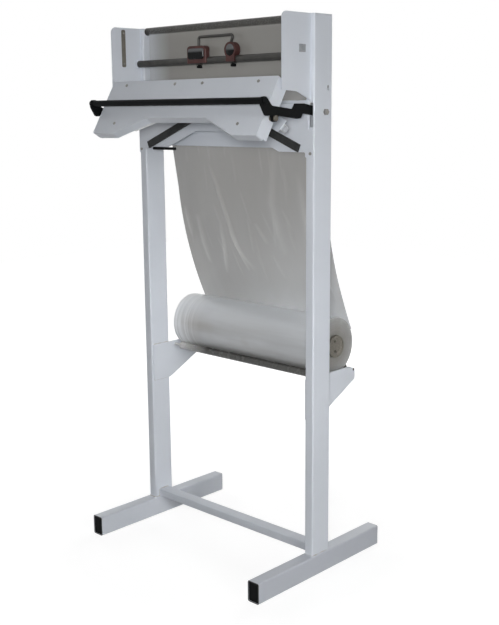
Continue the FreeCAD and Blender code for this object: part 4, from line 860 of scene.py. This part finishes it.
# Hinge: hexagon bolts through the posts with spacers, on which the arms turn, in zinc-plated steel.
# The return springs hang on their pins inside the posts.
zinc_plate = coated("zinc_plate", (0.46, 0.465, 0.46), (0.34, 0.345, 0.34), (0.55, 0.55, 0.54),
                    patch=60.0, roughness=0.4, peel=1400.0, depth=0.00002, metallic=0.85, edge=0.0004)
dress(zinc_plate, "pivot_spacers", "return_springs", "spring_anchors", "spring_pins")
dress(dull_zinc, "pivot_bolts")

# Arms and handle bar: cut plate and tube in black powder coat, with plastic caps in the bar's ends.
# The arms turn on bronze bushes pressed into them.
black_coat = coated("black_powder_coat", BLACK_LIGHT, BLACK_DARK, BLACK_WORN,
                    patch=12.0, roughness=0.5, peel=ORANGE_PEEL, depth=PEEL_DEPTH, specular=0.05, edge=0.0008)
dress(black_coat, "left_arm", "right_arm", "handle_bar")
dress(black_moulding, "handle_end_caps")
bronze = coated("bearing_bronze", (0.42, 0.27, 0.12), (0.33, 0.2, 0.09), (0.5, 0.34, 0.16),
                patch=90.0, roughness=0.45, peel=1500.0, depth=0.00003, metallic=0.85)
dress(bronze, "arm_bushes")

# Hood: one folded sheet pan over the moving jaw, white, held by screws on bent stays and bolted to the arms.
# The bolts and their spacers are tarnished brown-grey, the stays zinc plated.
dress(white_coat, "hood", "jaw_crossbar", "jaw_carrier")
tarnished = coated("tarnished_steel", (0.17, 0.155, 0.13), (0.1, 0.09, 0.075), (0.26, 0.25, 0.23),
                   patch=60.0, roughness=0.5, peel=1200.0, depth=0.00003, metallic=0.2, specular=0.3,
                   edge=0.0005)
dress(tarnished, "hood_bolts", "hood_spacers")
dress(zinc_plate, "hood_stays")

# Heat bars: milled aluminium with a bright band under a brown release tape.
# The bands' ends are clamped in blocks of pale glazed ceramic.
milled = coated("milled_aluminium", (0.66, 0.67, 0.68), (0.56, 0.57, 0.58), (0.75, 0.75, 0.76),
                patch=50.0, roughness=0.34, peel=900.0, depth=0.00002, metallic=0.9)
dress(milled, "heat_bars", "heating_bands")
release_cloth = coated("release_cloth", (0.34, 0.21, 0.1), (0.25, 0.15, 0.07), (0.4, 0.27, 0.15),
                       patch=70.0, roughness=0.5, peel=2200.0, depth=0.00005)
dress(release_cloth, "release_tapes")
ceramic = coated("glazed_ceramic", (0.5, 0.52, 0.555), (0.44, 0.46, 0.49), (0.52, 0.54, 0.57),
                 patch=60.0, roughness=0.45, peel=1200.0, depth=0.00002, specular=0.3)
dress(ceramic, "band_terminals")

# Hanger carriage: a dark red block and a round boss clamped on the rail by steel straps.
# Each has a glossy black face, its upper half painted lighter as a painted reflection, and a bent steel bail
# joins the two.
FACE_TOP_REFLECTION = (0.16, 0.163, 0.167)
FACE_REFLECTION_RISE = 0.007
maroon = coated("dark_red_moulding", (0.085, 0.034, 0.031), (0.06, 0.025, 0.023), (0.12, 0.06, 0.055),
                patch=30.0, roughness=0.4, peel=900.0, depth=0.00003, specular=0.2)
dress(maroon, "hanger_block", "hanger_boss")
dress(dark_tube, "hanger_bail", "clamp_straps")
gloss_black = coated("gloss_black_lens", (0.006, 0.0065, 0.007), (0.003, 0.0033, 0.0036), (0.02, 0.02, 0.02),
                     patch=26.0, roughness=0.2, peel=500.0, depth=0.00001, specular=0.1)
face_low, face_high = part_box("carriage_faces")
face_middle = (face_low.z + face_high.z) / 2
# The lens faces' upper half is painted lighter: a painted reflection of the surroundings above.
nodes, links, colour, lens_tint = reopened(gloss_black)
face_reflection_share = laid_over(nodes, links, own_axes(nodes, links)["Z"], face_middle, face_middle + FACE_REFLECTION_RISE, 0.0, 1.0)
links.new(mixed(nodes, links, face_reflection_share, lens_tint, FACE_TOP_REFLECTION), colour)
dress(gloss_black, "carriage_faces")

# Thumb screws: black fluted plastic knobs under the rail that lock the two clamps.
# Each is turned up from below, with a collar at its top and a dished end.
KNOB_FLUTES = 14
FLUTE_STEPS = 6
KNOB_ROWS = ((0.55, 1.0, 0.0), (0.62, 0.86, 0.0), (0.92, 0.82, 0.4), (1.0, 0.72, 1.0), (1.0, 0.2, 1.0),
             (0.93, 0.06, 0.6), (0.8, 0.0, 0.0), (0.5, 0.0, 0.0), (0.42, 0.06, 0.0))
FLUTE_DEPTH = 0.12
knob_low, knob_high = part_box("thumb_screws")
knob_length = knob_high.z - knob_low.z
shape = bmesh.new()
for middle, radius in head_places("thumb_screws", Vector((0, 0, -1))):
    rows = []
    for reach, height, fluted in KNOB_ROWS:
        row = []
        for step in range(KNOB_FLUTES * FLUTE_STEPS):
            angle = 2 * math.pi * step / (KNOB_FLUTES * FLUTE_STEPS)
            groove = FLUTE_DEPTH * fluted * (0.5 - 0.5 * math.cos(KNOB_FLUTES * angle)) ** 2
            spoke = Vector((math.cos(angle), math.sin(angle), 0)) * radius * (reach - groove)
            row.append(shape.verts.new(middle + spoke + Vector((0, 0, height * knob_length))))
        rows.append(row)
    bridge(shape, rows)
    shape.faces.new(rows[0])
    shape.faces.new(rows[-1])
thumb_knobs = finish_mesh("thumb_knobs", shape)
thumb_knobs.data.materials.append(black_moulding)
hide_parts("thumb_screws")
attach(thumb_knobs, "carriage")

# Switch: a pale grey moulded rocker that tips in its housing.
# The housing is pressed into a window of the right cheek.
switch_grey = coated("switch_grey_moulding", (0.35, 0.365, 0.385), (0.29, 0.305, 0.325), (0.42, 0.43, 0.44),
                     patch=60.0, roughness=0.4, peel=1600.0, depth=0.00002, specular=0.4, edge=0.0005)
dress(switch_grey, "switch_housing", "switch_rocker")

# Electrics inside the right post: a laminated transformer, its winding, the timer board, the closing sensor
# on its bracket, and the mains inlet in the post's rear face.
dress(black_moulding, "power_inlet")
laminations = coated("core_laminations", (0.06, 0.06, 0.06), (0.04, 0.04, 0.04), (0.1, 0.1, 0.1),
                     patch=60.0, roughness=0.5, peel=900.0, depth=0.00005, metallic=0.5)
dress(laminations, "transformer_core")
winding = coated("varnished_winding", (0.36, 0.14, 0.05), (0.26, 0.1, 0.035), (0.4, 0.17, 0.07),
                 patch=60.0, roughness=0.35, peel=1800.0, depth=0.0001, metallic=0.6)
dress(winding, "transformer_coil")
board_green = coated("circuit_board", (0.02, 0.12, 0.04), (0.014, 0.09, 0.03), (0.05, 0.15, 0.07),
                     patch=60.0, roughness=0.4, peel=1500.0, depth=0.00003)
dress(board_green, "timer_board")
turned_brass = coated("turned_brass", (0.6, 0.42, 0.16), (0.48, 0.33, 0.12), (0.65, 0.48, 0.2),
                      patch=60.0, roughness=0.3, peel=1200.0, depth=0.00002, metallic=0.9)
dress(turned_brass, "closing_sensor")
dress(zinc_plate, "sensor_bracket")

# Floor and backdrop: one plain painted floor, almost white, that keeps the object's soft shadow.
# It fades to the white of the backdrop with the distance from the stand.
FLOOR_SIZE = 14
FLOOR_GAP = 0.0005
FLOOR_GREY = 0.2
FLOOR_FILL = 0.87
SHADOW_REACH = 0.6
WHITE_REACH = 1.4
SKY_LEVEL = 0.11


def seen_rays(nodes, links):
    """One for rays from the camera, a gloss or a clear surface, and nought for the rest."""
    ray = nodes.new("ShaderNodeLightPath")
    seen = joined(nodes, links, "MAXIMUM", ray.outputs["Is Camera Ray"], ray.outputs["Is Glossy Ray"])
    return joined(nodes, links, "MAXIMUM", seen, ray.outputs["Is Transmission Ray"])


bpy.ops.mesh.primitive_plane_add(size=FLOOR_SIZE, location=(0, 0, -FLOOR_GAP))
floor = bpy.context.object
floor.name = "studio_floor"
floor_paint, nodes, links, shader = start_finish("studio_floor_paint", roughness=0.9, specular=0.1)
shader.inputs["Base Color"].default_value = (FLOOR_GREY, FLOOR_GREY, FLOOR_GREY, 1)
shader.inputs["Emission Color"].default_value = (1, 1, 1, 1)
place = nodes.new("ShaderNodeTexCoord")
away = nodes.new("ShaderNodeVectorMath")
away.operation = "LENGTH"
links.new(place.outputs["Object"], away.inputs[0])
fill = laid_over(nodes, links, away.outputs["Value"], SHADOW_REACH, WHITE_REACH, FLOOR_FILL, 1.0)
links.new(joined(nodes, links, "MULTIPLY", fill, seen_rays(nodes, links)), shader.inputs["Emission Strength"])
floor.data.materials.append(floor_paint)

world = bpy.data.worlds.new("studio")
bpy.context.scene.world = world
world.use_nodes = True
nodes, links = world.node_tree.nodes, world.node_tree.links
sky = nodes["Background"]
sky.inputs["Color"].default_value = (1, 1, 1, 1)
links.new(laid_over(nodes, links, seen_rays(nodes, links), 0.0, 1.0, SKY_LEVEL, 1.0), sky.inputs["Strength"])


# Studio light: a soft lamp beside the camera and one far to the right, turned down at the posts' lower half.
# Two weaker lamps fill the left side and the back.
def soft_lamp(name, place, target, size, power, spread=180.0):
    """A round lamp aimed at a point; size in metres, power in watts, spread in degrees."""
    data = bpy.data.lights.new(name, "AREA")
    data.shape = "DISK"
    data.size = size
    data.energy = power
    data.spread = math.radians(spread)
    lamp = bpy.data.objects.new(name, data)
    bpy.context.scene.collection.objects.link(lamp)
    lamp.location = place
    lamp.rotation_euler = (Vector(target) - Vector(place)).to_track_quat("-Z", "Y").to_euler()
    lamp.visible_camera = False


soft_lamp("camera_lamp", (2.45, -2.75, 1.75), (0, 0, 1.1), size=0.7, power=70)
soft_lamp("right_lamp", (6.0, -1.5, 2.0), (0, 0, 0.62), size=2.0, power=5.0, spread=28.0)
soft_lamp("rear_lamp", (-1.0, 3.6, 2.0), (0, 0, 1.0), size=1.4, power=46)
soft_lamp("left_lamp", (-3.8, 0.9, 1.4), (0, 0, 1.0), size=1.4, power=46)

# Camera: at standing eye height to the front right, as the photograph was taken.
# Its place, aim and lens come from a fit of the solids' corners to the photograph's edges.
VIEW_AZIMUTH = math.radians(43.51)
VIEW_PITCH = math.radians(11.28)
VIEW_ROLL = math.radians(-0.46)
CAMERA_PLACE = (2.5771, -2.6146, 1.6255)
LENS = 58.05
SENSOR_WIDTH = 36
sight = Vector((-math.sin(VIEW_AZIMUTH) * math.cos(VIEW_PITCH),
                math.cos(VIEW_AZIMUTH) * math.cos(VIEW_PITCH),
                -math.sin(VIEW_PITCH)))
camera_data = bpy.data.cameras.new("photo_camera")
camera_data.lens = LENS
camera_data.sensor_width = SENSOR_WIDTH
camera = bpy.data.objects.new("photo_camera", camera_data)
bpy.context.scene.collection.objects.link(camera)
aim = sight.to_track_quat("-Z", "Y").to_matrix().to_4x4()
camera.matrix_world = Matrix.Translation(CAMERA_PLACE) @ aim @ Matrix.Rotation(VIEW_ROLL, 4, "Z")
bpy.context.scene.camera = camera

bpy.context.scene.view_settings.view_transform = "Standard"
